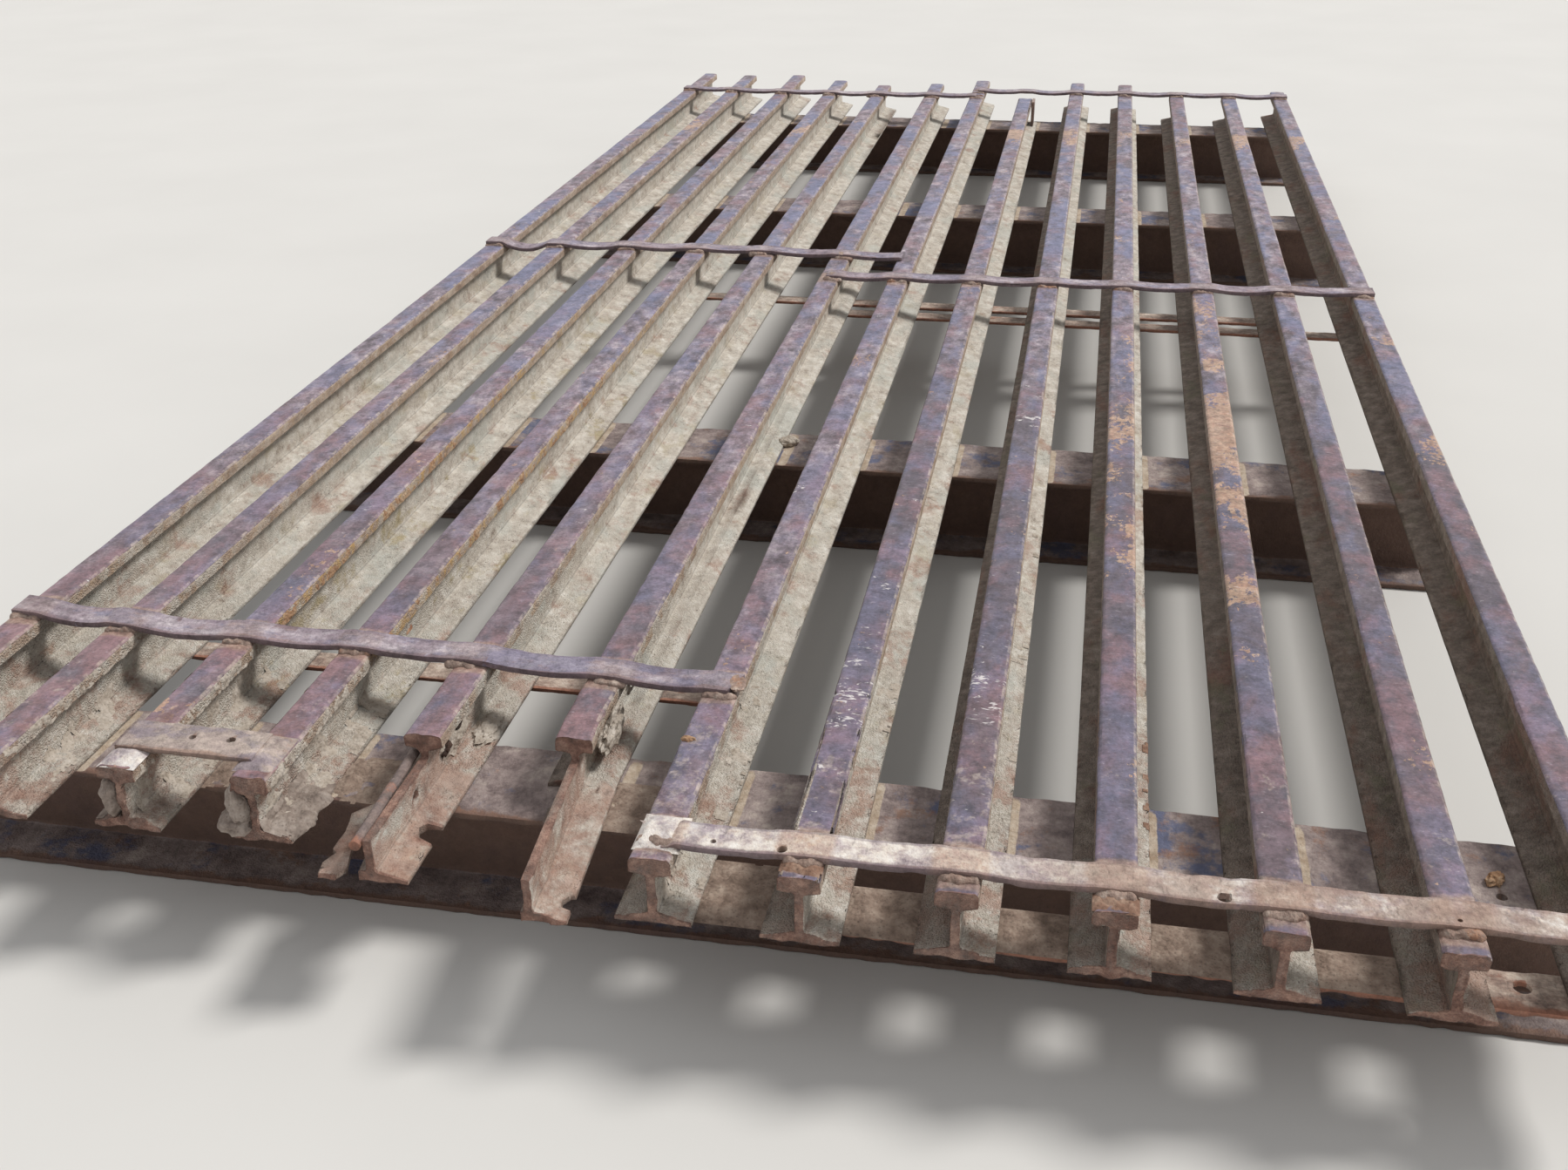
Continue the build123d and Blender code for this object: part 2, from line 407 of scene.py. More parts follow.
    def dress(self, colour: Socket, roughness: object) -> Material:
        """Feeds the shader and gives the finished material.

        Args:
            colour: The surface colour.
            roughness: A socket or a number.

        Returns:
            The material.
        """
        self.link(colour, self.shader.inputs["Base Color"])
        self.feed(self.shader.inputs["Roughness"], roughness)
        self.shader.inputs["Metallic"].default_value = 0.0
        return self.material


@dataclass(frozen=True)
class RailFinish:
    """Old rail steel: hoof-worn lavender crown, a dusty flank painted light as if sunlit, a flank painted
    dark as shade, red broken ends.
    """

    name: str = "rail_steel_worn"
    crown: Stops = (
        (0.36, (74, 63, 70)),
        (0.45, (112, 100, 109)),
        (0.54, (144, 131, 142)),
        (0.64, (182, 169, 175)),
    )
    crown_near: Colour = (79, 74, 85)
    # Blue-grey tint of the crown: partly the oxide's own tint, partly painted reflection of the sky
    crown_blue_and_sky_reflection: Colour = (112, 118, 150)
    crown_plum: Colour = (140, 104, 110)
    crown_pink: Colour = (150, 114, 116)
    crown_dust: Stops = ((0.3, (158, 138, 130)), (0.7, (206, 194, 184)))
    crown_scratch: Colour = (190, 180, 188)
    crown_score: Colour = (78, 69, 76)
    crown_orange: Stops = ((0.3, (168, 126, 100)), (0.7, (206, 176, 148)))
    crown_fleck: Colour = (232, 226, 224)
    # Painted highlight along the crown's right-hand rounded edge
    crown_painted_highlight: Colour = (192, 176, 162)
    joint_stain: Stops = ((0.3, (124, 92, 78)), (0.5, (168, 140, 122)), (0.7, (198, 180, 162)))
    # Painted light: the flank colours for the side that faces the light, lighter as if sunlit
    lit_flank: Stops = (
        (0.34, (142, 128, 115)),
        (0.43, (188, 178, 166)),
        (0.56, (216, 209, 198)),
        (0.68, (238, 234, 226)),
    )
    head_ochre: Colour = (196, 158, 96)
    lit_head_side: Stops = ((0.3, (124, 100, 86)), (0.5, (174, 152, 134)), (0.7, (208, 194, 178)))
    # Painted shade: darker copies of the flank, its rust and its lichen, for the side that faces away from
    # the light
    shaded_flank: Stops = ((0.36, (102, 89, 80)), (0.5, (132, 119, 109)), (0.64, (160, 147, 136)))
    shaded_rust: Colour = (134, 92, 76)
    shaded_lichen: Colour = (124, 121, 98)
    lichen: Colour = (176, 162, 130)
    grey_film: Colour = (188, 190, 182)
    flank_rust: Colour = (158, 112, 92)
    flank_pit: Colour = (84, 68, 56)
    broken: Stops = ((0.34, (70, 48, 42)), (0.5, (124, 88, 75)), (0.66, (184, 146, 128)))
    crust: Stops = ((0.3, (150, 140, 126)), (0.55, (206, 198, 186)), (0.8, (228, 230, 228)))
    # Painted shade: the dark colour laid on undersides and in the corners between web and foot
    grime_and_painted_shade: Colour = (56, 48, 42)

    def crown_colour(self, board: NodeBoard) -> Socket:
        """The colour of the worn top of the head.

        Args:
            board: The material being made.

        Returns:
            The colour's socket.
        """
        colour = board.colours(board.cloud(30, 8, 0.68, (1, 0.55, 1)), self.crown)
        colour = board.blend(board.painted("near", 0.55), colour, self.crown_near)
        plum = board.cloud(10, 6, 0.66, (1, 0.8, 1), seed=3)
        colour = board.laid(colour, self.crown_plum, plum, 0.46, 0.60, 0.55)
        pink = board.cloud(14, 7, 0.68, (1, 0.7, 1), seed=4)
        share = board.painted("pink", 0.8)
        colour = board.laid(colour, self.crown_pink, pink, 0.36, 0.56, share)
        # Blue tint, stronger towards the back: partly the oxide's tint, partly painted reflection of the sky
        blue = board.cloud(8, 6, 0.66, (1, 0.6, 1), 0.5, seed=7)
        share = board.plus(board.painted("blue", 0.4), 0.35)
        colour = board.laid(colour, self.crown_blue_and_sky_reflection, blue, 0.44, 0.60, share)
        grain = board.cloud(80, 7, 0.76, (1, 0.8, 1), seed=11)
        patch = board.cloud(11, 5, 0.65, (1, 0.5, 1), seed=12)
        rubbed = board.plus(board.times(grain, 0.55), board.times(patch, 0.65))
        rubbed = board.plus(rubbed, board.painted("orange", 0.13))
        tint = board.colours(board.cloud(60, 4, 0.6, seed=14), self.crown_orange)
        colour = board.laid(colour, tint, rubbed, 0.712, 0.740, 0.8)
        dust = board.plus(board.cloud(24, 8, 0.74, seed=6), board.painted("settled", 0.12))
        tint = board.colours(board.cloud(70, 6, 0.7, seed=8), self.crown_dust)
        colour = board.laid(colour, tint, dust, 0.62, 0.72, 0.55)
        score = board.cloud(150, 5, 0.7, (0.5, 1, 1), 0.4, seed=9)
        colour = board.laid(colour, self.crown_scratch, score, 0.56, 0.70, 0.35)
        colour = board.laid(colour, self.crown_score, score, 0.45, 0.32, 0.35)
        place = board.plus(board.painted("joint"), board.cloud(22, 6, 0.7, seed=16))
        stain = board.colours(board.cloud(75, 7, 0.72, seed=17), self.joint_stain)
        colour = board.laid(colour, stain, place, 1.00, 1.36, 0.7)
        # Painted highlight: a pale band along the crown's right-hand rounded edge
        rim = board.cloud(46, 7, 0.74, seed=19)
        share = board.painted("rim", 0.55)
        colour = board.laid(colour, self.crown_painted_highlight, rim, 0.44, 0.60, share)
        colour = board.mottled(colour, 36, 0.62, 15)
        chip = board.times(board.cloud(95, 7, 0.78, (0.5, 1.2, 1), 0.8, seed=18), 0.6)
        chip = board.plus(chip, board.times(board.cloud(13, 4, 0.6, seed=20), 0.4))
        chip = board.plus(chip, board.painted("flecks", 0.045))
        return board.laid(colour, self.crown_fleck, chip, 0.605, 0.635, 0.85)

    def lit_colour(self, board: NodeBoard) -> Socket:
        """The colour of the dusty flank that faces the light, painted lighter as if sunlit.

        Args:
            board: The material being made.

        Returns:
            The colour's socket.
        """
        colour = board.colours(board.cloud(34, 10, 0.76, (1, 0.7, 1), seed=21), self.lit_flank)
        film = board.cloud(11, 7, 0.66, (1, 0.5, 1), seed=22)
        colour = board.laid(colour, self.grey_film, film, 0.48, 0.62, 0.6)
        growth = board.cloud(14, 8, 0.68, (1, 0.6, 1), seed=23)
        share = board.plus(board.painted("ochre"), 0.25)
        colour = board.laid(colour, self.lichen, growth, 0.53, 0.63, share)
        red = board.cloud(12, 9, 0.72, (1, 0.7, 1), seed=25)
        for mask, weight in (("near", 0.04), ("front", 0.08), ("foot", 0.035)):
            red = board.plus(red, board.painted(mask, weight))
        colour = board.laid(colour, self.flank_rust, red, 0.58, 0.70, 0.6)
        head = board.colours(board.cloud(44, 9, 0.74, (1, 0.5, 1), seed=27), self.lit_head_side)
        ochre = board.blend(board.painted("ochre"), head, self.head_ochre)
        head = board.laid(head, ochre, board.cloud(50, 6, 0.7, seed=28), 0.46, 0.58)
        colour = board.blend(board.painted("head_side"), colour, head)
        cake = board.colours(board.cloud(120, 7, 0.76, seed=29), self.crust)
        caked = board.cloud(18, 8, 0.72, seed=31)
        colour = board.laid(colour, cake, caked, 0.46, 0.58, board.painted("caked"))
        pit = board.step(board.cells(150, (1, 0.7, 1)), 0.26, 0.14)
        pit = board.times(pit, board.step(board.cloud(24, 5, 0.7, seed=35), 0.50, 0.62))
        fine = board.step(board.cloud(210, 5, 0.7, seed=36), 0.40, 0.28)
        pit = board.maths("MAXIMUM", board.times(pit, 0.75), board.times(fine, 0.6))
        middle = board.maths("SUBTRACT", board.cloud(30, 7, 0.7, (1, 0.8, 1), seed=37), 0.5)
        crack = board.step(board.maths("ABSOLUTE", middle, 0.0), 0.010, 0.002)
        crack = board.times(crack, board.step(board.cloud(9, 4, 0.6, seed=38), 0.50, 0.58))
        pit = board.maths("MAXIMUM", pit, board.times(crack, 0.55))
        return board.blend(pit, board.mottled(colour, 60, 0.22, 61), self.flank_pit)

    def flank_colour(self, board: NodeBoard) -> Socket:
        """The colour of the web, foot and head sides: painted light where they face right, and painted shade
        where they face left.

        Args:
            board: The material being made.

        Returns:
            The colour's socket.
        """
        shaded = board.colours(board.cloud(34, 10, 0.76, seed=33), self.shaded_flank)
        red = board.cloud(9, 7, 0.7, (1, 0.5, 1), seed=34)
        shaded = board.laid(shaded, self.shaded_rust, red, 0.50, 0.64, 0.55)
        green = board.cloud(13, 8, 0.72, (1, 0.6, 1), seed=39)
        shaded = board.laid(shaded, self.shaded_lichen, green, 0.53, 0.64, 0.5)
        # Painted light and shade: lit colours where the flank faces right, darker shaded copies where it
        # faces left
        return board.blend(board.painted("lit"), board.mottled(shaded, 34, 0.3, 63), self.lit_colour(board))

    def material(self) -> Material:
        """Builds the material.

        Returns:
            The finished material.
        """
        board = NodeBoard(self.name)
        crown = board.painted("crown")
        edge = board.cloud(80, 6, 0.72, (1, 0.6, 1), seed=41)
        crown = board.step(board.plus(crown, board.times(edge, 0.5)), 0.60, 0.84)
        colour = board.blend(crown, self.flank_colour(board), self.crown_colour(board))
        red = board.colours(board.cloud(36, 9, 0.74, seed=43), self.broken)
        share = board.plus(board.painted("red"), board.times(board.cloud(16, 7, 0.7, seed=45), 1.1))
        colour = board.laid(colour, red, share, 0.86, 1.20, 0.85)
        # Painted shade on undersides and in the corner between web and foot
        colour = board.blend(board.painted("grime_and_painted_shade", 0.7), colour, self.grime_and_painted_shade)
        grains = board.maths("SUBTRACT", 1.0, board.cells(330))
        fine = board.cloud(280, 8, 0.78, seed=47)
        lumps = board.cloud(60, 7, 0.72, seed=49)
        flank = board.plus(board.times(grains, board.painted("caked")), fine)
        flank = board.plus(flank, board.times(lumps, 0.7))
        score = board.cloud(190, 4, 0.65, (0.25, 1, 1), seed=50)
        smooth = board.plus(board.times(fine, 0.3), board.times(lumps, 0.45))
        smooth = board.plus(smooth, board.times(score, 0.3))
        mix = board.add("ShaderNodeMix")
        board.feed(mix.inputs[0], crown)
        board.link(flank, mix.inputs[2])
        board.link(smooth, mix.inputs[3])
        board.relief(mix.outputs[0], 1.0, 0.0026)
        gloss = board.maths("SUBTRACT", 0.95, board.times(crown, 0.36))
        gloss = board.maths("SUBTRACT", gloss, board.times(board.cloud(50, 5, 0.6, seed=51), 0.16))
        return board.dress(colour, gloss)


@dataclass(frozen=True)
class SteelFinish:
    """Corroded plain steel: a mottled base, two stains, pale flecks, pitted relief."""

    name: str
    base: Stops
    stain: Colour
    rust: Stops
    fleck: Colour = (222, 214, 206)
    joint: Stops = ((0.3, (122, 94, 80)), (0.5, (170, 146, 128)), (0.7, (204, 188, 170)))
    # Colour of the faces turned to the front: partly rust, partly painted shade
    face: Colour = (112, 92, 94)
    dust: Stops = ((0.3, (150, 126, 102)), (0.5, (186, 168, 148)), (0.7, (212, 200, 184)))
    joint_share: float = 0.7
    face_share: float = 0.5
    edge: Colour = (106, 92, 106)
    edge_share: float = 0.35
    brown: Colour = (156, 129, 114)
    base_scale: float = 24.0
    stain_share: float = 0.5
    stain_scale: float = 11.0
    stain_from: float = 0.48
    rust_from: float = 0.56
    rust_share: float = 0.7
    fleck_from: float = 0.70
    gloss: float = 0.75
    pitting: float = 0.85
    blotches: float = 0.5
    # Dark colour of the scratches, and painted shade on undersides and low down near the ground
    grime_and_painted_shade: Colour = (56, 48, 43)
    stretch: tuple[float, float, float] = (0.6, 1, 1)
    seed: float = 0.0

    def material(self) -> Material:
        """Builds the material.

        Returns:
            The finished material.
        """
        board = NodeBoard(self.name)
        seed = self.seed
        mottle = board.cloud(self.base_scale, 10, 0.76, self.stretch, seed=seed)
        colour = board.colours(mottle, self.base)
        stained = board.cloud(self.stain_scale, 7, 0.7, self.stretch, seed=seed + 2)
        low = self.stain_from
        colour = board.laid(colour, self.stain, stained, low, low + 0.08, self.stain_share)
        tint = board.colours(board.cloud(48, 6, 0.7, seed=seed + 4), self.rust)
        place = board.cloud(17, 8, 0.7, self.stretch, seed=seed + 6)
        place = board.plus(place, board.painted("red", 0.3))
        low = self.rust_from
        colour = board.laid(colour, tint, place, low, low + 0.12, self.rust_share)
        # Faces turned to the front get the face colour, darker and redder: partly rust, partly painted shade
        colour = board.blend(board.painted("red", self.face_share), colour, self.face)
        joint = board.plus(board.painted("joint"), board.cloud(24, 6, 0.7, seed=seed + 14))
        welded = board.colours(board.cloud(80, 7, 0.72, seed=seed + 16), self.joint)
        colour = board.laid(colour, welded, joint, 0.86, 1.25, self.joint_share)
        edge = board.plus(board.painted("edge"), board.cloud(34, 7, 0.72, seed=seed + 17))
        colour = board.laid(colour, self.edge, edge, 0.85, 1.15, self.edge_share)
        brown = board.cloud(13, 7, 0.7, seed=seed + 19)
        share = board.painted("brown", 0.75)
        colour = board.laid(colour, self.brown, brown, 0.36, 0.54, share)
        dusty = board.plus(board.painted("dust"), board.cloud(22, 9, 0.76, seed=seed + 18))
        settled = board.colours(board.cloud(42, 8, 0.72, seed=seed + 20), self.dust)
        colour = board.laid(colour, settled, dusty, 0.98, 1.22)
        score = board.cloud(180, 4, 0.65, (1, 0.3, 1), seed=seed + 22)
        colour = board.laid(colour, self.grime_and_painted_shade, score, 0.46, 0.30, 0.35)
        colour = board.mottled(colour, 30, self.blotches, seed + 24)
        chip = board.cloud(64, 7, 0.72, seed=seed + 8)
        low = self.fleck_from
        colour = board.laid(colour, self.fleck, chip, low, low + 0.04)
        # Painted shade on undersides and low down near the ground
        colour = board.blend(board.painted("grime_and_painted_shade", 0.75), colour, self.grime_and_painted_shade)
        fine = board.cloud(260, 8, 0.78, seed=seed + 10)
        lumps = board.cloud(55, 7, 0.72, seed=seed + 12)
        height = board.plus(fine, board.times(lumps, 1.6))
        board.relief(height, self.pitting, 0.0032)
        gloss = board.plus(self.gloss - 0.08, board.times(mottle, 0.2))
        return board.dress(colour, gloss)


@dataclass(frozen=True)
class DirtFinish:
    """Dried mud and rubble that is caked on the steel."""

    name: str
    shades: tuple[Colour, Colour, Colour]
    speck: Colour
    grain_scale: float
    seed: float
    marks: tuple[float, float, float] = (0.28, 0.48, 0.70)

    def material(self) -> Material:
        """Builds the material.

        Returns:
            The finished material.
        """
        board = NodeBoard(self.name)
        stops = tuple(zip(self.marks, self.shades))
        colour = board.colours(board.cloud(38, 9, 0.72, seed=self.seed), stops)
        colour = board.laid(colour, self.speck, board.cells(self.grain_scale), 0.32, 0.12, 0.45)
        grains = board.maths("SUBTRACT", 1.0, board.cells(self.grain_scale * 0.8))
        height = board.plus(grains, board.cloud(150, 8, 0.75, seed=self.seed + 2))
        board.relief(height, 0.9, 0.0025)
        return board.dress(colour, 0.95)


Finish = RailFinish | SteelFinish | DirtFinish

BEAM_FINISH = SteelFinish(
    name="beam_steel_dark",
    base=((0.36, (98, 84, 82)), (0.46, (134, 119, 116)), (0.55, (160, 145, 140)), (0.64, (188, 174, 165))),
    stain=(78, 90, 122),
    stain_scale=6,
    rust=((0.3, (112, 76, 58)), (0.6, (154, 112, 86)), (0.8, (198, 148, 108))),
    face=(92, 70, 60),
    face_share=0.8,
    blotches=0.2,
    stain_share=0.8,
    stain_from=0.52,
    rust_from=0.56,
    rust_share=0.7,
    base_scale=18,
    stretch=(1, 1, 1),
    seed=100,
)
BAR_FINISH = SteelFinish(
    name="bar_steel_mauve",
    base=((0.36, (106, 92, 102)), (0.45, (146, 131, 139)), (0.55, (174, 161, 168)), (0.65, (208, 198, 201))),
    stain=(118, 120, 146),
    rust=((0.3, (134, 98, 88)), (0.7, (178, 148, 138))),
    face=(92, 76, 78),
    joint_share=0.22,
    rust_from=0.55,
    rust_share=0.55,
    seed=120,
)
DUSTY_BAR_FINISH = SteelFinish(
    name="bar_steel_dusty",
    base=((0.35, (150, 134, 140)), (0.44, (194, 180, 178)), (0.53, (230, 220, 210)), (0.62, (246, 240, 232))),
    stain=(128, 116, 136),
    rust=((0.3, (150, 112, 94)), (0.7, (190, 162, 144))),
    joint=((0.3, (150, 108, 84)), (0.5, (192, 156, 128)), (0.7, (218, 200, 178))),
    face=(122, 100, 102),
    face_share=0.8,
    edge_share=0.45,
    joint_share=0.45,
    stain_share=0.4,
    blotches=0.4,
    rust_from=0.56,
    rust_share=0.55,
    base_scale=26,
    stretch=(1, 1, 1),
    seed=140,
)
BROWN_BAR_FINISH = SteelFinish(
    name="bar_steel_brown",
    base=((0.28, (112, 96, 98)), (0.42, (150, 134, 130)), (0.58, (184, 168, 158)), (0.74, (212, 200, 190))),
    stain=(120, 112, 130),
    rust=((0.3, (138, 100, 80)), (0.7, (188, 156, 132))),
    face=(118, 96, 92),
    rust_from=0.54,
    rust_share=0.6,
    seed=150,
)
STRAP_FINISH = SteelFinish(
    name="strap_steel_muddy",
    base=((0.37, (124, 102, 92)), (0.45, (164, 142, 129)), (0.55, (196, 177, 162)), (0.64, (220, 205, 192))),
    stain=(94, 82, 76),
    rust=((0.3, (122, 72, 52)), (0.6, (158, 104, 80)), (0.8, (190, 140, 114))),
    face=(150, 98, 76),
    face_share=0.8,
    rust_from=0.55,
    seed=160,
)
ROD_FINISH = SteelFinish(
    name="rod_steel_rusty",
    base=((0.30, (98, 82, 76)), (0.50, (132, 116, 110)), (0.70, (170, 154, 146))),
    stain=(112, 100, 100),
    rust=((0.3, (146, 92, 70)), (0.7, (190, 132, 104))),
    face=(142, 88, 64),
    rust_from=0.55,
    rust_share=0.6,
    seed=180,
)
WELD_FINISH = SteelFinish(
    name="weld_bead_rusty",
    base=((0.30, (96, 78, 70)), (0.50, (156, 134, 122)), (0.70, (204, 190, 176))),
    stain=(146, 118, 104),
    rust=((0.3, (136, 86, 60)), (0.7, (188, 138, 102))),
    base_scale=70,
    rust_from=0.52,
    stretch=(1, 1, 1),
    pitting=1.0,
    seed=200,
)
PALE_SHADES = ((126, 112, 98), (184, 172, 158), (214, 205, 194))
PALE_CRUST = DirtFinish("crust_pale", PALE_SHADES, (98, 82, 68), 170, 60, (0.28, 0.46, 0.68))
OCHRE_SHADES = ((116, 82, 62), (174, 136, 104), (208, 186, 158))
OCHRE_CRUST = DirtFinish("crust_ochre", OCHRE_SHADES, (92, 68, 48), 210, 64)
BROWN_SHADES = ((84, 66, 54), (138, 116, 98), (188, 168, 148))
BROWN_CRUST = DirtFinish("crust_brown", BROWN_SHADES, (70, 56, 46), 210, 68)
MUD_SHADES = ((96, 80, 68), (146, 126, 112), (186, 168, 152))
GREY_MUD = DirtFinish("mud_grey", MUD_SHADES, (92, 78, 68), 150, 72)
RUST_SHADES = ((88, 64, 54), (140, 108, 90), (188, 162, 142))
RUSTY_LUMP = DirtFinish("rust_lump", RUST_SHADES, (80, 60, 50), 150, 76)
ORANGE_SHADES = ((122, 80, 64), (178, 132, 104), (218, 194, 166))
ORANGE_RUST = DirtFinish("rust_orange", ORANGE_SHADES, (150, 84, 60), 150, 82)
# Near-black lumps that stand in for the shade inside hollows: painted shade
HOLLOW_SHADES = ((30, 22, 20), (52, 38, 32), (92, 68, 56))
SHADED_HOLLOW = DirtFinish("hollow_painted_shade", HOLLOW_SHADES, (28, 20, 18), 190, 84)
CONCRETE_SHADES = ((100, 88, 80), (150, 136, 126), (190, 178, 168))
GREY_CONCRETE = DirtFinish("concrete_grey", CONCRETE_SHADES, (88, 74, 66), 130, 78)


class Workshop:
    """Cuts and presses meshes, and makes them into pieces with their materials and masks."""

    materials: dict[str, Material] = {}

    @staticmethod
    def dressed(finish: Finish) -> Material:
        """The finish's material, made once.

        Args:
            finish: The finish.

        Returns:
            Its material.
        """
        if finish.name not in Workshop.materials:
            Workshop.materials[finish.name] = finish.material()
        return Workshop.materials[finish.name]

    @staticmethod
    def copy_of(node: str, flat_angle: float = 1.2) -> Mesh:
        """A CAD node's mesh, with its flat faces joined again so that cuts come out clean.

        Args:
            node: The node's name.
            flat_angle: Faces that meet at less than this many degrees are joined.

        Returns:
            The mesh, ready to cut.
        """
        mesh = bmesh.new()
        mesh.from_mesh(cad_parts[node].data)
        bmesh.ops.remove_doubles(mesh, verts=mesh.verts, dist=0.01 * MM)
        angle = math.radians(flat_angle)
        bmesh.ops.dissolve_limit(mesh, angle_limit=angle, verts=mesh.verts, edges=mesh.edges)
        return mesh

    @staticmethod
    def slice(
        mesh: Mesh, axis: Axis, places: list[float], between: tuple[float, float] | None = None
    ) -> None:
        """Cuts a mesh across an axis, working on from each cut with only the faces that lie beyond it.

        Args:
            mesh: The mesh to cut.
            axis: The axis that the cuts cross.
            places: Where to cut, in metres.
            between: Cuts only the faces that lie between these two places along Y.
        """
        normal = Vector([1.0 if i == axis.value else 0.0 for i in range(3)])
        ahead = list(mesh.faces)
        if between:
            ahead = [f for f in ahead if all(between[0] <= v.co.y <= between[1] for v in f.verts)]
        for place in sorted(places):
            parts = set(ahead)
            for face in ahead:
                parts.update(face.edges)
                parts.update(face.verts)
            done = bmesh.ops.bisect_plane(
                mesh, geom=list(parts), dist=0.005 * MM, plane_co=normal * place, plane_no=normal
            )
            faces = [part for part in done["geom"] if isinstance(part, bmesh.types.BMFace)]
            ahead = [f for f in faces if max(v.co[axis.value] for v in f.verts) > place + 0.02 * MM]

    @staticmethod
    def keep_low(mesh: Mesh) -> None:
        """Presses what stands near the top of the CAD box down softly, so that it stays inside.

        Args:
            mesh: The mesh to press.
        """
        top, give = CAD_BOX[1].z - 0.2 * MM, 2.5 * MM
        for point in mesh.verts:
            over = point.co.z - (top - give)
            if over > 0:
                point.co.z = top - give * math.exp(-over / give)

    @staticmethod
    def sheet(mesh: Mesh, rows: list[list[tuple[bmesh.types.BMVert, bool]]]) -> None:
        """Joins rows of points into a sheet that stays open where no corner of a face shows.

        Args:
            mesh: The mesh that the points are in.
            rows: For each point, itself and whether it shows.
        """
        for first, second in zip(rows, rows[1:]):
            for number in range(len(first) - 1):
                corners = (first[number], first[number + 1], second[number + 1], second[number])
                if any(shows for _, shows in corners):
                    mesh.faces.new([vertex for vertex, _ in corners])
        bmesh.ops.delete(mesh, geom=[v for v in mesh.verts if not v.link_faces], context="VERTS")
        bmesh.ops.recalc_face_normals(mesh, faces=mesh.faces)
        Workshop.keep_low(mesh)

    @staticmethod
    def piece(mesh: Mesh, name: str, finish: Finish, sharp: float = 38.0) -> Object:
        """Makes a shown object of a mesh, lets it ride on the part and gives it its material.

        Args:
            mesh: The mesh, which is freed.
            name: The piece's name.
            finish: Its finish.
            sharp: Edges that turn by more than this many degrees stay sharp.

        Returns:
            The new object.
        """
        data = bpy.data.meshes.new(name)
        mesh.to_mesh(data)
        mesh.free()
        for polygon in data.polygons:
            polygon.use_smooth = True
        data.set_sharp_from_angle(angle=math.radians(sharp))
        data.materials.append(Workshop.dressed(finish))
        shown = bpy.data.objects.new(name, data)
        bpy.context.scene.collection.objects.link(shown)
        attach(shown, ROOT)
        return shown

    @staticmethod
    def paint(shown: Object, masks: dict[str, list[float]]) -> None:
        """Writes masks onto a piece's points, for its material to read.

        Args:
            shown: The piece.
            masks: A value for each point, by mask name.
        """
        for name, values in masks.items():
            layer = shown.data.attributes.new(name, "FLOAT", "POINT")
            layer.data.foreach_set("value", values)


class WornPiece:
    """A CAD piece that is built again with a worn surface and takes its node's place."""

    node: str
    slot: str
    finish: Finish

    def build(self) -> Object:
        """Builds the worn piece in place of its CAD node.

        Returns:
            The new piece.
        """
        mesh = Workshop.copy_of(self.node)
        self.cut_up(mesh)
        self.wear(mesh)
        mesh.normal_update()
        rows = [self.mask_row(point.co, point.normal) for point in mesh.verts]
        shown = Workshop.piece(mesh, f"worn_{self.node}", self.finish)
        Workshop.paint(shown, {name: [row[name] for row in rows] for name in rows[0]})
        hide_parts(self.node)
        return shown


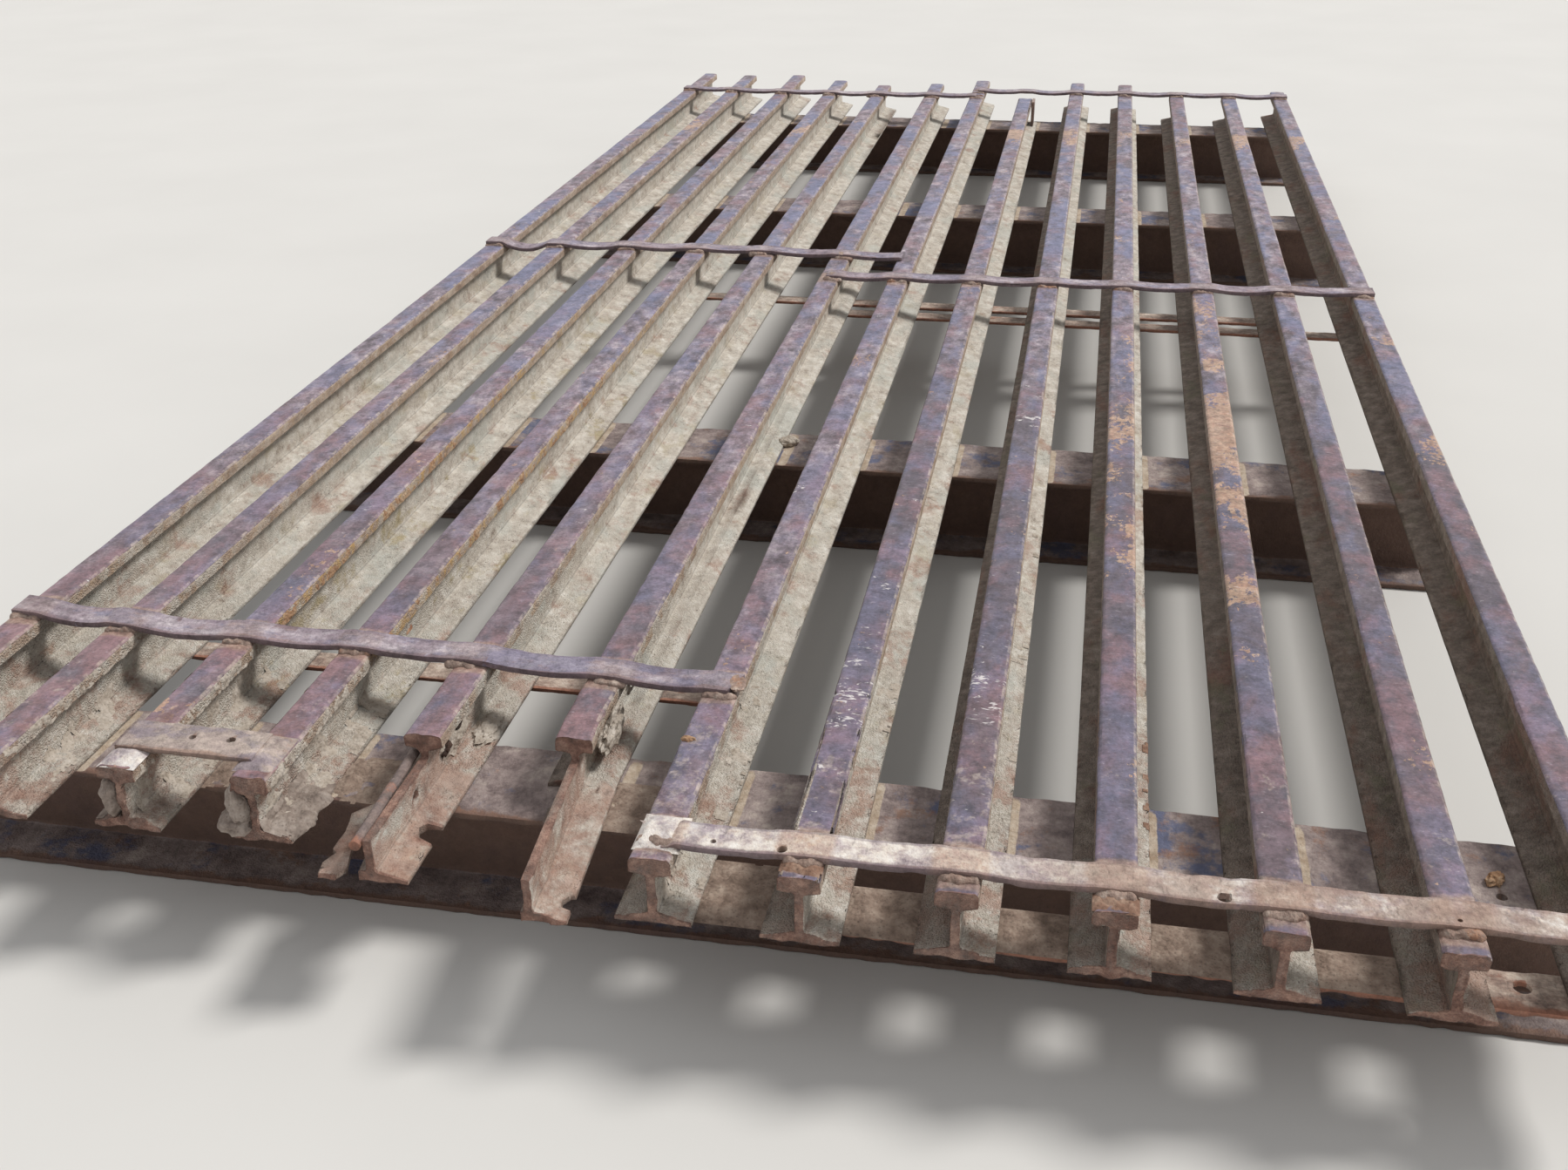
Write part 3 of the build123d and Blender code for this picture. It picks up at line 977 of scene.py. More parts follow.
@dataclass
class WornRail(WornPiece):
    """One rail, as the CAD piece has it, with a pitted surface, nibbled foot and broken ends."""

    index: int
    finish: RailFinish = RailFinish()
    joints: tuple[tuple[float, float], ...] = ()
    orange: float = 0.0
    orange_bands: tuple[tuple[float, float], ...] = ()
    flecks: float = 0.0
    fleck_bands: tuple[tuple[float, float], ...] = ()
    redness: float = 0.0
    front_chip: float = 0.0025
    back_chip: float = 0.0015
    head_station: float | None = None
    near_step: float = 0.010
    middle_step: float = 0.026
    far_step: float = 0.055
    near_until: float = 0.42
    middle_until: float = 2.2
    pit_depth: float = 0.0006
    nibble_depth: float = 0.0042
    cake_depth: float = 0.0026
    end_reach: float = 0.018
    end_cell: float = 0.0045
    slot: str = "rail_steel"

    @property
    def node(self) -> str:
        """The CAD node's name."""
        return f"rail_{self.index + 1:02d}"

    def cuts(self) -> list[float]:
        """Where to cut the rail along its length, closer together at the front.

        Returns:
            Places along Y, in metres.
        """
        low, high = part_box(self.node)
        coarser = 1.0
        places = [high.y - 0.006, high.y - 0.015]
        place = low.y + 0.005
        while place < high.y - 0.02:
            places.append(place)
            station = station_of(place)
            if station < self.near_until:
                step = self.near_step
            elif station < self.middle_until:
                step = self.middle_step
            else:
                step = self.far_step
            place += step * coarser
        if self.head_station is not None:
            places += [FRONT_STATION + self.head_station + step for step in (0.0008, 0.005, 0.014)]
        return places

    def ends(self) -> list[tuple[float, float, float, float]]:
        """The broken ends.

        Returns:
            Each end's place along Y, the way into the steel, the chips' depth and the lowest Z.
        """
        low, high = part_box(self.node)
        ends = [(low.y, 1.0, self.front_chip, 0.0), (high.y, -1.0, self.back_chip, 0.0)]
        if self.head_station is not None:
            ends.append((FRONT_STATION + self.head_station, 1.0, self.front_chip, RAIL_BASE + 0.07))
        return ends

    def cut_up(self, mesh: Mesh) -> None:
        """Cuts the rail into small faces, smallest on its end faces.

        Args:
            mesh: The mesh to cut.
        """
        middle = RAIL_X[self.index]
        Workshop.slice(mesh, Axis.X, [middle + x for x in RAIL_SLICES_X])
        Workshop.slice(mesh, Axis.Z, [RAIL_BASE + z for z in RAIL_SLICES_Z])
        Workshop.slice(mesh, Axis.Y, self.cuts())
        low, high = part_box(self.node)
        across = [low.x + self.end_cell * (i + 0.5) for i in range(int((high.x - low.x) / self.end_cell))]
        up = [low.z + self.end_cell * (i + 0.5) for i in range(int((high.z - low.z) / self.end_cell))]
        for place, inward, _, _ in self.ends():
            near, far = sorted((place - 0.0005 * inward, place + self.end_reach * inward))
            Workshop.slice(mesh, Axis.X, across, (near, far))
            Workshop.slice(mesh, Axis.Z, up, (near, far))

    def wear(self, mesh: Mesh) -> None:
        """Moves the points: pits everywhere, bites out of the foot's edges and chips out of the ends.

        Args:
            mesh: The cut mesh.
        """
        mesh.normal_update()
        seed = 7.3 * self.index
        ends = self.ends()
        for point in mesh.verts:
            point.co += self.moved(point.co.copy(), point.normal, seed)
            for place, inward, chip, lowest in ends:
                depth = (point.co.y - place) * inward
                if -0.001 < depth < self.end_reach and point.co.z > lowest:
                    flat = Vector((point.co.x, 0, point.co.z))
                    bite = max(0.0, 0.45 + lumps(flat, 38, seed + place)) * chip
                    point.co.y += inward * 1.6 * bite * ramp(self.end_reach, 0.0, depth)

    def moved(self, place: Vector, normal: Vector, seed: float) -> Vector:
        """How far wear and dirt move one point of the long faces.

        Args:
            place: The point.
            normal: The surface direction there.
            seed: Tells the rails apart.

        Returns:
            The move, in metres.
        """
        height = place.z - RAIL_BASE
        inward = self.pit_depth * (0.5 + 0.5 * rough(place, 55, seed))
        inward += self.pit_depth * (0.5 + 0.5 * rough(place, 130, seed + 4))
        move = normal * -inward
        along = Vector((self.index, place.y, 0))
        outward = abs(place.x - RAIL_X[self.index])
        if 0.001 < height < FOOT_EDGE_TOP and abs(normal.x) > 0.35 and outward > 0.05:
            bite = max(0.0, rough(along, 26, seed) - 0.05) + 0.5 * max(0.0, rough(along, 80, seed + 2))
            move.x -= math.copysign(self.nibble_depth * bite, normal.x)
        if normal.x > 0.2 and WEB_SPAN[0] < height < WEB_SPAN[1]:
            lump = max(0.0, 0.35 + rough(place, 34, seed + 6) + 0.6 * rough(place, 95, seed + 8))
            move += normal * self.cake_depth * self.caked(place) * lump
        if height > CROWN_FROM and normal.z > 0.5:
            dent = max(0.0, rough(Vector((place.x, place.y * 0.6, 0)), 11, seed + 9) - 0.3)
            move.z -= 0.004 * dent
        if height > HEAD_SIDE_FROM and 0.3 < abs(normal.x) < 0.97:
            move -= normal * 0.0022 * max(0.0, rough(along, 44, seed + 12))
        return move

    def caked(self, place: Vector) -> float:
        """How thickly the lit flank is caked at a place, most near the front."""
        return 0.25 + 0.75 * ramp(1.3, 0.15, station_of(place.y))

    def joint(self, place: Vector) -> float:
        """How close a place is to a welded bar, from 0 to 1."""
        gaps = [max(front - place.y, place.y - back, 0.0) for front, back in self.joints]
        return max((ramp(0.05, 0.006, gap) for gap in gaps), default=0.0)

    @staticmethod
    def banded(bands: tuple[tuple[float, float], ...], station: float) -> float:
        """How far a station lies inside one of some bands, from 0 to 1."""
        return max((ramp(a - 0.05, a, station) * ramp(b + 0.05, b, station) for a, b in bands), default=0.0)

    def mask_row(self, place: Vector, normal: Vector) -> dict[str, float]:
        """The masks of one point, from where it lies on the section and along the rail.

        Args:
            place: The point.
            normal: The surface direction there.

        Returns:
            Each mask's value.
        """
        height = place.z - RAIL_BASE
        station = station_of(place.y)
        head = ramp(*HEAD_SPAN, height)
        banded = self.banded(self.orange_bands, station) * (1.0 if station > 3 else 0.7)
        flecked = self.banded(self.fleck_bands, station)
        front = ramp(0.26, -0.04, station)
        torn = ramp(0.6, 0.9, normal.z) * ramp(0.05, 0.06, height) * (1 - head)
        corner = ramp(0.034, 0.022, height) * ramp(0.5, 0.75, abs(normal.x)) * ramp(0.95, 0.8, abs(normal.x))
        side = abs(normal.x)
        ochre = 0.7 if self.index in (2, 3) else 0.15
        pink = 0.85 if self.index < 6 else 0.3
        if self.index > 6:
            near = 1.5 * ramp(2.4, 1.1, station)
        else:
            near = (0.45 if self.index == 6 else 1.0) * ramp(1.5, 0.5, station)
        return {
            "crown": ramp(0.30, 0.75, normal.z) * head,
            # rim: where the painted highlight lies, on the head's rounded edge that faces right
            "rim": head * ramp(0.10, 0.45, normal.x) * ramp(0.97, 0.80, side) * ramp(0.1, 0.3, normal.z),
            # lit: painted light on faces turned right, towards the key light, and painted shade on faces
            # turned left
            "lit": ramp(-0.14, 0.14, normal.x + 0.2 * front),
            "head_side": head * ramp(0.5, 0.8, side),
            "ochre": ochre * ramp(0.2, 0.35, station) * ramp(2.8, 1.4, station),
            "caked": self.caked(place) * (0.45 if self.index in (4, 5) and station < 0.1 else 1.0),
            "near": near,
            "front": ramp(0.5, 0.05, station) * (1.5 if self.index in (4, 5) else 1.0),
            "foot": ramp(0.040, 0.022, height),
            "pink": pink * max(0.35, ramp(0.5, 0.3, station)) * ramp(1.8, 1.2, station),
            "settled": (0.5 if self.index < 6 or self.index > 8 else 1.0) * ramp(0.45, 0.05, station),
            # blue: grows towards the back, where the crown's painted sky reflection is stronger
            "blue": ramp(0.6, 3.0, station),
            "orange": self.orange * ramp(0.7, 1.5, station) * ramp(3.2, 2.0, station) + banded,
            "flecks": 0.6 * self.flecks * ramp(1.8, 0.8, station) + 0.9 * flecked,
            "red": min(1.0, self.redness * front + 0.8 * ramp(0.5, 0.9, abs(normal.y)) + 0.6 * torn),
            "joint": self.joint(place) * ramp(0.09, 0.1, height),
            # grime: painted shade on faces turned down and in the corner between web and foot
            "grime_and_painted_shade": min(1.0, 0.75 * ramp(-0.2, -0.7, normal.z) + 0.5 * corner),
        }
@dataclass
class WornPlate(WornPiece):
    """A beam, bar, strap or plate, as the CAD piece has it, with a pitted surface and ragged edges."""

    node: str
    finish: SteelFinish
    slot: str
    step: float = 0.012
    across: tuple[float, ...] = ()
    levels: tuple[float, ...] = ()
    pit_depth: float = 0.0006
    nibble_depth: float = 0.0016
    red_edge: float = 1.0
    # How strong the painted shade is under the piece and low down near the ground
    shaded_under: float = 0.6
    dusty: float = 0.0
    browned: bool = False
    crosses_rails: bool = False
    spans: dict[int, tuple[float, float] | None] = field(default_factory=dict)
    fore: float = 0.0
    sunk_until: float | None = None

    def cut_up(self, mesh: Mesh) -> None:
        """Cuts the piece into small faces along its length and at its own levels and shares across.

        Args:
            mesh: The mesh to cut.
        """
        low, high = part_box(self.node)
        self.fore = low.y
        if self.levels:
            Workshop.slice(mesh, Axis.Z, [low.z + level for level in self.levels])
        if self.across:
            Workshop.slice(mesh, Axis.Y, [low.y + share * (high.y - low.y) for share in self.across])
        step = self.step * 1.0
        places = [low.x + step * (i + 0.5) for i in range(int((high.x - low.x) / step))]
        if self.dusty:
            places += [middle + offset for middle in RAIL_X for offset in DUST_SLICES]
        Workshop.slice(mesh, Axis.X, places)

    def mask_row(self, place: Vector, normal: Vector) -> dict[str, float]:
        """The masks of one point: rusty front edge, front faces that are partly painted shade, welded places,
        settled dust and painted shade below.

        Args:
            place: The point.
            normal: The surface direction there.

        Returns:
            Each mask's value.
        """
        offsets = [place.x - middle for middle in RAIL_X]
        joint = max(ramp(0.062, 0.020, abs(offset)) for offset in offsets) if self.crosses_rails else 0.0
        settled = max(ramp(0.076, 0.063, offset) * ramp(0.040, 0.052, offset) for offset in offsets)
        edge = 0.0
        if self.crosses_rails:
            column = round(place.x / 0.004)
            if column not in self.spans:
                self.spans[column] = span_at(self.node, 0.004 * column + 0.0001)
            front, back = self.spans[column] or (place.y, place.y)
            edge = ramp(0.012, 0.001, min(place.y - front, back - place.y))
        lip = ramp(0.020, 0.003, place.y - self.fore) * ramp(0.5, 0.9, normal.z) if self.dusty else 0.0
        high = ramp(RAIL_BASE - 0.03, RAIL_BASE - 0.01, place.z)
        low = ramp(RAIL_BASE - 0.05, 0.02, place.z)
        return {
            # red: rust along the top's front lip, and faces turned to the front, which are also painted shade
            "red": self.red_edge * max(ramp(0.45, 0.8, -normal.y), 0.7 * lip),
            "edge": edge,
            "brown": ramp(0.30, 0.75, place.x) if self.browned else 0.0,
            "joint": joint,
            "dust": self.dusty * settled * ramp(0.5, 0.9, normal.z) * high,
            # grime: painted shade on faces turned down and low down near the ground
            "grime_and_painted_shade": self.shaded_under * max(ramp(-0.1, -0.7, normal.z), 0.5 * low),
        }

    def wear(self, mesh: Mesh) -> None:
        """Moves the points inward by a pitted amount, more along the edges.

        Args:
            mesh: The cut mesh.
        """
        mesh.normal_update()
        seed = float(sum(ord(letter) for letter in self.node) % 97)
        for point in mesh.verts:
            place = point.co.copy()
            inward = self.pit_depth * (0.5 + 0.5 * rough(place, 60, seed))
            inward += self.pit_depth * (0.5 + 0.5 * rough(place, 140, seed + 3))
            if max(abs(c) for c in point.normal) < 0.93:
                inward += self.nibble_depth * max(0.0, 0.25 + rough(place, 38, seed + 5))
            point.co = place - point.normal * inward
            if self.sunk_until is not None and place.z > HEAD_TOP + 0.002:
                share = ramp(self.sunk_until, self.sunk_until - 0.020, place.x)
                point.co.z -= 0.92 * share * (place.z - HEAD_TOP - 0.002)


@dataclass
class WeldBeads:
    """The lumpy weld beads that hold one flat bar on the rail heads."""

    node: str
    rails: tuple[int, ...]
    finish: SteelFinish = WELD_FINISH
    near_radius: float = 0.0085
    far_radius: float = 0.0055
    reach: float = 0.029
    crown_radius: float = 0.305
    rings: int = 26
    sides: int = 12

    def bead(self, mesh: Mesh, x: float, y: float, radius: float, seed: float) -> None:
        """Adds one lumpy bead across a rail head.

        Args:
            mesh: The mesh to add to.
            x: The middle of the rail.
            y: The edge of the bar that it runs along.
            radius: Its radius before the lumps.
            seed: Moves its lumps.
        """
        rings = []
        for step in range(self.rings):
            share = 2 * step / (self.rings - 1) - 1
            along = x + share * self.reach * (1 + 0.1 * rough(Vector((seed, 0, 0)), 3))
            drop = (along - x) ** 2 / (2 * self.crown_radius)
            taper = math.sqrt(max(0.02, 1 - share**6))
            wander = 0.6 * radius * rough(Vector((along, seed, 0)), 34)
            centre = Vector((along, y + wander, HEAD_TOP - drop - 0.0015))
            ring = []
            for side in range(self.sides):
                turn = 2 * math.pi * side / self.sides
                outward = Vector((0, math.cos(turn), 0.85 * math.sin(turn)))
                swell = max(0.25, 1 + 0.8 * lumps(centre + outward * radius, 48, seed))
                ring.append(mesh.verts.new(centre + outward * radius * taper * swell))
            rings.append(ring)
        for first, second in zip(rings, rings[1:]):
            for side in range(self.sides):
                other = (side + 1) % self.sides
                mesh.faces.new((first[side], first[other], second[other], second[side]))
        mesh.faces.new(list(reversed(rings[0])))
        mesh.faces.new(rings[-1])

    def build(self) -> Object:
        """Builds the beads along both edges of the bar.

        Returns:
            The beads as one piece.
        """
        mesh = bmesh.new()
        low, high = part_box(self.node)
        for rail in self.rails:
            x = min(max(RAIL_X[rail], low.x + 0.012), high.x - 0.012)
            front, back = span_at(self.node, x) or (low.y, high.y)
            self.bead(mesh, RAIL_X[rail], front, self.near_radius, 3.1 * rail)
            self.bead(mesh, RAIL_X[rail], back, self.far_radius, 3.1 * rail + 17)
        bmesh.ops.recalc_face_normals(mesh, faces=mesh.faces)
        Workshop.keep_low(mesh)
        shown = Workshop.piece(mesh, f"{self.node}_welds", self.finish, sharp=60)
        return shown


class Band(Enum):
    """A stretch of the rail's section that dirt cakes on: points from top to bottom, X and Z in metres."""

    FLANK = (
        (0.029, 0.088),
        (0.014, 0.0835),
        (0.0072, 0.078),
        (0.0066, 0.050),
        (0.0072, 0.026),
        (0.0125, 0.0175),
        (0.0555, 0.0082),
    )
    WEB = ((0.0150, 0.0835), (0.0074, 0.078), (0.0068, 0.040))
    FOOT = ((0.0068, 0.034), (0.0125, 0.0180), (0.0300, 0.0135), (0.0562, 0.0078), (0.0570, 0.0010))
    HEAD_SIDE = ((0.0290, 0.1085), (0.0305, 0.1030), (0.0305, 0.0880), (0.0240, 0.0860))
    EDGE = ((0.0470, 0.0096), (0.0560, 0.0076), (0.0566, 0.0010))


@dataclass
class Crust:
    """Dried concrete, mud or rust that is caked on one side of a rail, with ragged gaps in it."""

    name: str
    rail: int
    side: int
    band: Band
    stations: tuple[float, float]
    finish: DirtFinish
    depth: float = 0.007
    cover: float = 0.1
    scale: float = 26.0
    cell: float = 0.0045
    seed: float = 0.0

    def outline(self) -> list[tuple[Vector, Vector]]:
        """Points along the band and the way out of the steel at each.

        Returns:
            Pairs of a place and a direction, both in X and Z from the rail's base line.
        """
        corners = [Vector((x * self.side, 0, z)) for x, z in self.band.value]
        points = []
        for first, second in zip(corners, corners[1:]):
            count = max(1, round((second - first).length / self.cell))
            run = (second - first).normalized()
            outward = Vector((-run.z, 0, run.x)) * self.side
            points += [(first.lerp(second, step / count), outward) for step in range(count)]
        points.append((corners[-1], points[-1][1]))
        ways = [way for _, way in points]
        padded = [ways[0], *ways, ways[-1]]
        smooth = [(a + b + c).normalized() for a, b, c in zip(padded, padded[1:], padded[2:])]
        return [(place, way) for (place, _), way in zip(points, smooth)]

    def build(self) -> Object:
        """Builds the crust where it stands out of the steel and leaves the rest bare.

        Returns:
            The new piece.
        """
        mesh = bmesh.new()
        outline = self.outline()
        start, stop = self.stations
        cell = self.cell * 1.0
        count = int((stop - start) / cell)
        rows = []
        for step in range(count + 1):
            station = start + step * cell
            fade = ramp(start, start + 0.03, station) * ramp(stop, stop - 0.05, station)
            row = []
            for number, (place, way) in enumerate(outline):
                centre = Vector((RAIL_X[self.rail], FRONT_STATION + station, RAIL_BASE)) + place
                thick = self.cover + lumps(centre, self.scale, self.seed)
                thick += 0.25 * rough(centre, 190, self.seed)
                rim = 0.5 if number in (0, len(outline) - 1) else 1.0
                height = self.depth * max(-0.25, min(1.2, thick)) * fade * rim - 0.0006
                row.append((mesh.verts.new(centre + way * height), height > 0))
            rows.append(row)
        Workshop.sheet(mesh, rows)
        return Workshop.piece(mesh, self.name, self.finish, sharp=70)


@dataclass
class Mud:
    """A low heap of dried mud on a flat face, thick in the middle, with a ragged outline."""

    name: str
    middle: tuple[float, float]
    size: tuple[float, float]
    base: float
    finish: DirtFinish | SteelFinish
    depth: float = 0.008
    cover: float = 0.35
    scale: float = 30.0
    cell: float = 0.004
    seed: float = 0.0

    def build(self) -> Object:
        """Builds the heap.

        Returns:
            The new piece.
        """
        mesh = bmesh.new()
        cell = self.cell * 1.0
        across, along = (int(length / cell) for length in self.size)
        rows = []
        for step in range(along + 1):
            row = []
            for number in range(across + 1):
                right, ahead = 2 * number / across - 1, 2 * step / along - 1
                x = self.middle[0] + right * self.size[0] / 2
                y = FRONT_STATION + self.middle[1] + ahead * self.size[1] / 2
                flat = Vector((x, y, 0))
                fade = 1 - max(abs(right) ** 3, abs(ahead) ** 3)
                thick = (self.cover + 0.8 * lumps(flat, self.scale, self.seed)) * fade + 0.12 * (fade - 0.4)
                z = self.base + self.depth * min(1.0, thick) - 0.0004
                row.append((mesh.verts.new((x, y, z)), thick > 0.03))
            rows.append(row)
        Workshop.sheet(mesh, rows)
        return Workshop.piece(mesh, self.name, self.finish, sharp=70)


@dataclass
class Lump:
    """One irregular lump: a clod, a chip or a blob of weld."""

    name: str
    finish: DirtFinish | SteelFinish
    seed: float
    middle: tuple[float, float, float]
    size: tuple[float, float, float]
    turn: float = 0.0
    jag: float = 0.3
    scale: float = 1.6
    detail: int = 4

    def build(self) -> Object:
        """Builds the lump.

        Returns:
            The new piece.
        """
        mesh = bmesh.new()
        bmesh.ops.create_icosphere(mesh, subdivisions=self.detail, radius=1.0)
        spin = Matrix.Rotation(math.radians(self.turn), 3, "Z")
        x, y, z = self.middle
        for point in mesh.verts:
            place = point.co * (1 + self.jag * lumps(point.co, self.scale, self.seed))
            place = Vector([place[i] * self.size[i] / 2 for i in range(3)])
            point.co = spin @ place + Vector((x, FRONT_STATION + y, z))
        Workshop.keep_low(mesh)
        return Workshop.piece(mesh, self.name, self.finish, sharp=50)


@dataclass(frozen=True)
class CameraPlace:
    """Where the photograph was taken from, worked out from the grid's own rails and beams."""

    x: float = 0.5265
    y: float = -4.6097
    z: float = 1.6640
    yaw: float = 0.1943
    pitch: float = 0.4827
    roll: float = -0.0123
    lens: float = 36.74
    sensor: float = 36.0
    sight: float = 200.0

    def build(self) -> None:
        """Makes the camera and the scene's choice of it."""
        turn = Matrix.Rotation(self.yaw, 3, "Z")
        forward = Vector((0, math.cos(self.pitch), -math.sin(self.pitch)))
        upward = Vector((0, math.sin(self.pitch), math.cos(self.pitch)))
        right = Vector((1, 0, 0))
        rolled_right = math.cos(self.roll) * right + math.sin(self.roll) * upward
        rolled_up = math.cos(self.roll) * upward - math.sin(self.roll) * right
        axes = [turn @ rolled_right, turn @ rolled_up, turn @ -forward]
        data = bpy.data.cameras.new("photo_camera")
        data.lens = self.lens
        data.sensor_width = self.sensor
        data.clip_end = self.sight
        camera = bpy.data.objects.new("photo_camera", data)
        place = Matrix.Translation((self.x, self.y, self.z))
        camera.matrix_world = place @ Matrix(axes).transposed().to_4x4()
        bpy.context.scene.collection.objects.link(camera)
        bpy.context.scene.camera = camera


@dataclass(frozen=True)
class Studio:
    """A plain pale floor, a soft key from the back right, and an even pale surround."""

    floor_half: float = 40.0
    floor_colour: Colour = (226, 224, 220)
    surround: float = 0.50
    surround_light: tuple[float, float, float, float] = (0.97, 0.98, 1.0, 1)
    surround_seen: tuple[float, float, float, float] = (0.9, 0.9, 0.89, 1)
    key_light: tuple[float, float, float] = (1.0, 0.98, 0.95)
    key_strength: float = 2.3
    key_angle: float = 14.0
    key_height: float = 50.0
    key_heading: float = 28.0

    def floor(self) -> None:
        """Makes the floor that the grid rests on."""
        mesh = bmesh.new()
        bmesh.ops.create_grid(mesh, x_segments=1, y_segments=1, size=self.floor_half)
        data = bpy.data.meshes.new("studio_floor")
        mesh.to_mesh(data)
        mesh.free()
        board = NodeBoard("studio_floor_pale")
        pale = self.floor_colour
        dim = tuple(int(value * 0.985) for value in pale)
        tint = board.colours(board.cloud(1.5, 3, 0.5), ((0.3, dim), (0.7, pale)))
        data.materials.append(board.dress(tint, 0.9))
        floor = bpy.data.objects.new("studio_floor", data)
        floor.location.z = -0.0005
        bpy.context.scene.collection.objects.link(floor)

    def world(self) -> None:
        """Makes the surround: even light on the object, and white to the camera."""
        world = bpy.data.worlds.new("studio_world")
        world.use_nodes = True
        tree = world.node_tree
        tree.nodes.clear()
        output = tree.nodes.new("ShaderNodeOutputWorld")
        light = tree.nodes.new("ShaderNodeBackground")
        light.inputs["Color"].default_value = self.surround_light
        light.inputs["Strength"].default_value = self.surround
        seen = tree.nodes.new("ShaderNodeBackground")
        seen.inputs["Color"].default_value = self.surround_seen
        seen.inputs["Strength"].default_value = 1.0
        rays = tree.nodes.new("ShaderNodeLightPath")
        seen_by = rays.outputs["Is Camera Ray"]
        for ray in ("Is Glossy Ray", "Is Transmission Ray"):
            either = tree.nodes.new("ShaderNodeMath")
            either.operation = "MAXIMUM"
            tree.links.new(seen_by, either.inputs[0])
            tree.links.new(rays.outputs[ray], either.inputs[1])
            seen_by = either.outputs[0]
        mix = tree.nodes.new("ShaderNodeMixShader")
        tree.links.new(seen_by, mix.inputs[0])
        tree.links.new(light.outputs[0], mix.inputs[1])
        tree.links.new(seen.outputs[0], mix.inputs[2])
        tree.links.new(mix.outputs[0], output.inputs["Surface"])
        bpy.context.scene.world = world

    def key(self) -> None:
        """Makes the soft key light."""
        data = bpy.data.lights.new("soft_key", "SUN")
        data.energy = self.key_strength
        data.angle = math.radians(self.key_angle)
        data.color = self.key_light
        key = bpy.data.objects.new("soft_key", data)
        height = math.radians(self.key_height)
        heading = math.radians(self.key_heading)
        level = math.cos(height)
        towards = Vector((math.cos(heading) * level, math.sin(heading) * level, math.sin(height)))
        key.rotation_euler = towards.to_track_quat("Z", "Y").to_euler()
        bpy.context.scene.collection.objects.link(key)

    def build(self) -> None:
        """Builds the whole studio and shows colours as they are."""
        bpy.context.scene.view_settings.view_transform = "Standard"
        self.floor()
        self.world()
        self.key()


# The cream bar across the right half of the front, which most differs from the others
CREAM_BAR = "front_right_top_bar"
# Each flat bar and the rails that it crosses
TOP_BARS = {
    "front_left_top_bar": range(0, 7),
    CREAM_BAR: range(6, 13),
    "middle_left_top_bar": range(0, 6),
    "middle_right_top_bar": range(5, 13),
    "rear_left_top_bar": range(0, 7),
    "rear_right_top_bar": (6, 8, 9, 10, 11, 12),
}


def rails() -> list[WornRail]:
    """The rails from left to right, with what sets each one apart.

    Returns:
        The rails.
    """
    far_band = (4.37, 4.58)
    banded = {1, 3, 7, 8, 9, 10, 11, 12}
    near_bands = {9: ((0.76, 1.12), (1.44, 1.60)), 10: ((0.70, 0.81), (1.00, 1.18), (1.31, 1.61))}
    fleck_bands = {7: ((0.20, 0.44),), 8: ((0.24, 0.44), (1.36, 1.72))}
    orange = {9: 0.5, 10: 0.9, 12: 0.4}
    flecks = {7: 1.0, 8: 0.8, 6: 0.3}
    chips = {1: 0.004, 2: 0.006, 3: 0.006, 4: 0.005, 5: 0.005, 9: 0.005, 11: 0.005}
    head_stations = {4: 0.036, 5: 0.068}
    made = []
    for index in range(RAIL_COUNT):
        crossed = [span_at(bar, RAIL_X[index]) for bar, over in TOP_BARS.items() if index in over]
        made.append(
            WornRail(
                index,
                joints=tuple(span for span in crossed if span),
                orange=orange.get(index, 0.0),
                orange_bands=near_bands.get(index, ()) + ((far_band,) if index in banded else ()),
                flecks=flecks.get(index, 0.0),
                fleck_bands=fleck_bands.get(index, ()),
                redness=0.42 if index < 6 else 0.25,
                front_chip=chips.get(index, 0.0025),
                back_chip=0.005 if index == 7 else 0.0015,
                head_station=head_stations.get(index),
            )
        )
    return made


def plates() -> list[WornPlate]:
    """The beams, bars, straps and plates.

    Returns:
        The pieces.
    """
    made = []
    levels = (0.04, 0.08, 0.12, 0.16)
    across = (0.06, 0.12, 0.3, 0.5, 0.7, 0.88)
    for place in ("front", "front_middle", "rear_middle", "rear"):
        beam = WornPlate(f"{place}_cross_beam", BEAM_FINISH, "beam_steel", 0.024, across, levels)
        beam.nibble_depth = 0.003
        beam.dusty = 1.0
        made.append(beam)
    wide = (0.2, 0.4, 0.6, 0.8)
    for bar in TOP_BARS:
        plate = WornPlate(bar, BAR_FINISH, "bar_steel", 0.007, wide, nibble_depth=0.0013, crosses_rails=True)
        if bar == CREAM_BAR:
            plate.finish = DUSTY_BAR_FINISH
            plate.browned = True
            plate.sunk_until = RAIL_X[6] + 0.034
            plate.nibble_depth = 0.0024
        made.append(plate)
    made.append(WornPlate("patch_plate", BROWN_BAR_FINISH, "bar_steel", 0.005, wide))
    for strap in ("front_under_strap", "middle_under_strap_front", "middle_under_strap_rear"):
        made.append(WornPlate(strap, STRAP_FINISH, "strap_steel", 0.012, wide))
    made.append(WornPlate("front_sole_plate", STRAP_FINISH, "strap_steel", 0.006, wide, nibble_depth=0.004))
    made.append(WornPlate("edge_rod", ROD_FINISH, "bar_steel", 0.004, (0.1, 0.3, 0.5, 0.7, 0.9)))
    made.append(WornPlate("torn_side_plate", BROWN_BAR_FINISH, "bar_steel", 0.004, wide, (0.03, 0.06)))
    return made


def welds() -> list[WeldBeads]:
    """The weld beads of each flat bar.

    Returns:
        The beads, bar by bar.
    """
    made = [WeldBeads(bar, tuple(crossed)) for bar, crossed in TOP_BARS.items()]
    for beads in made:
        if beads.node == CREAM_BAR:
            beads.near_radius = 0.0102
    return made


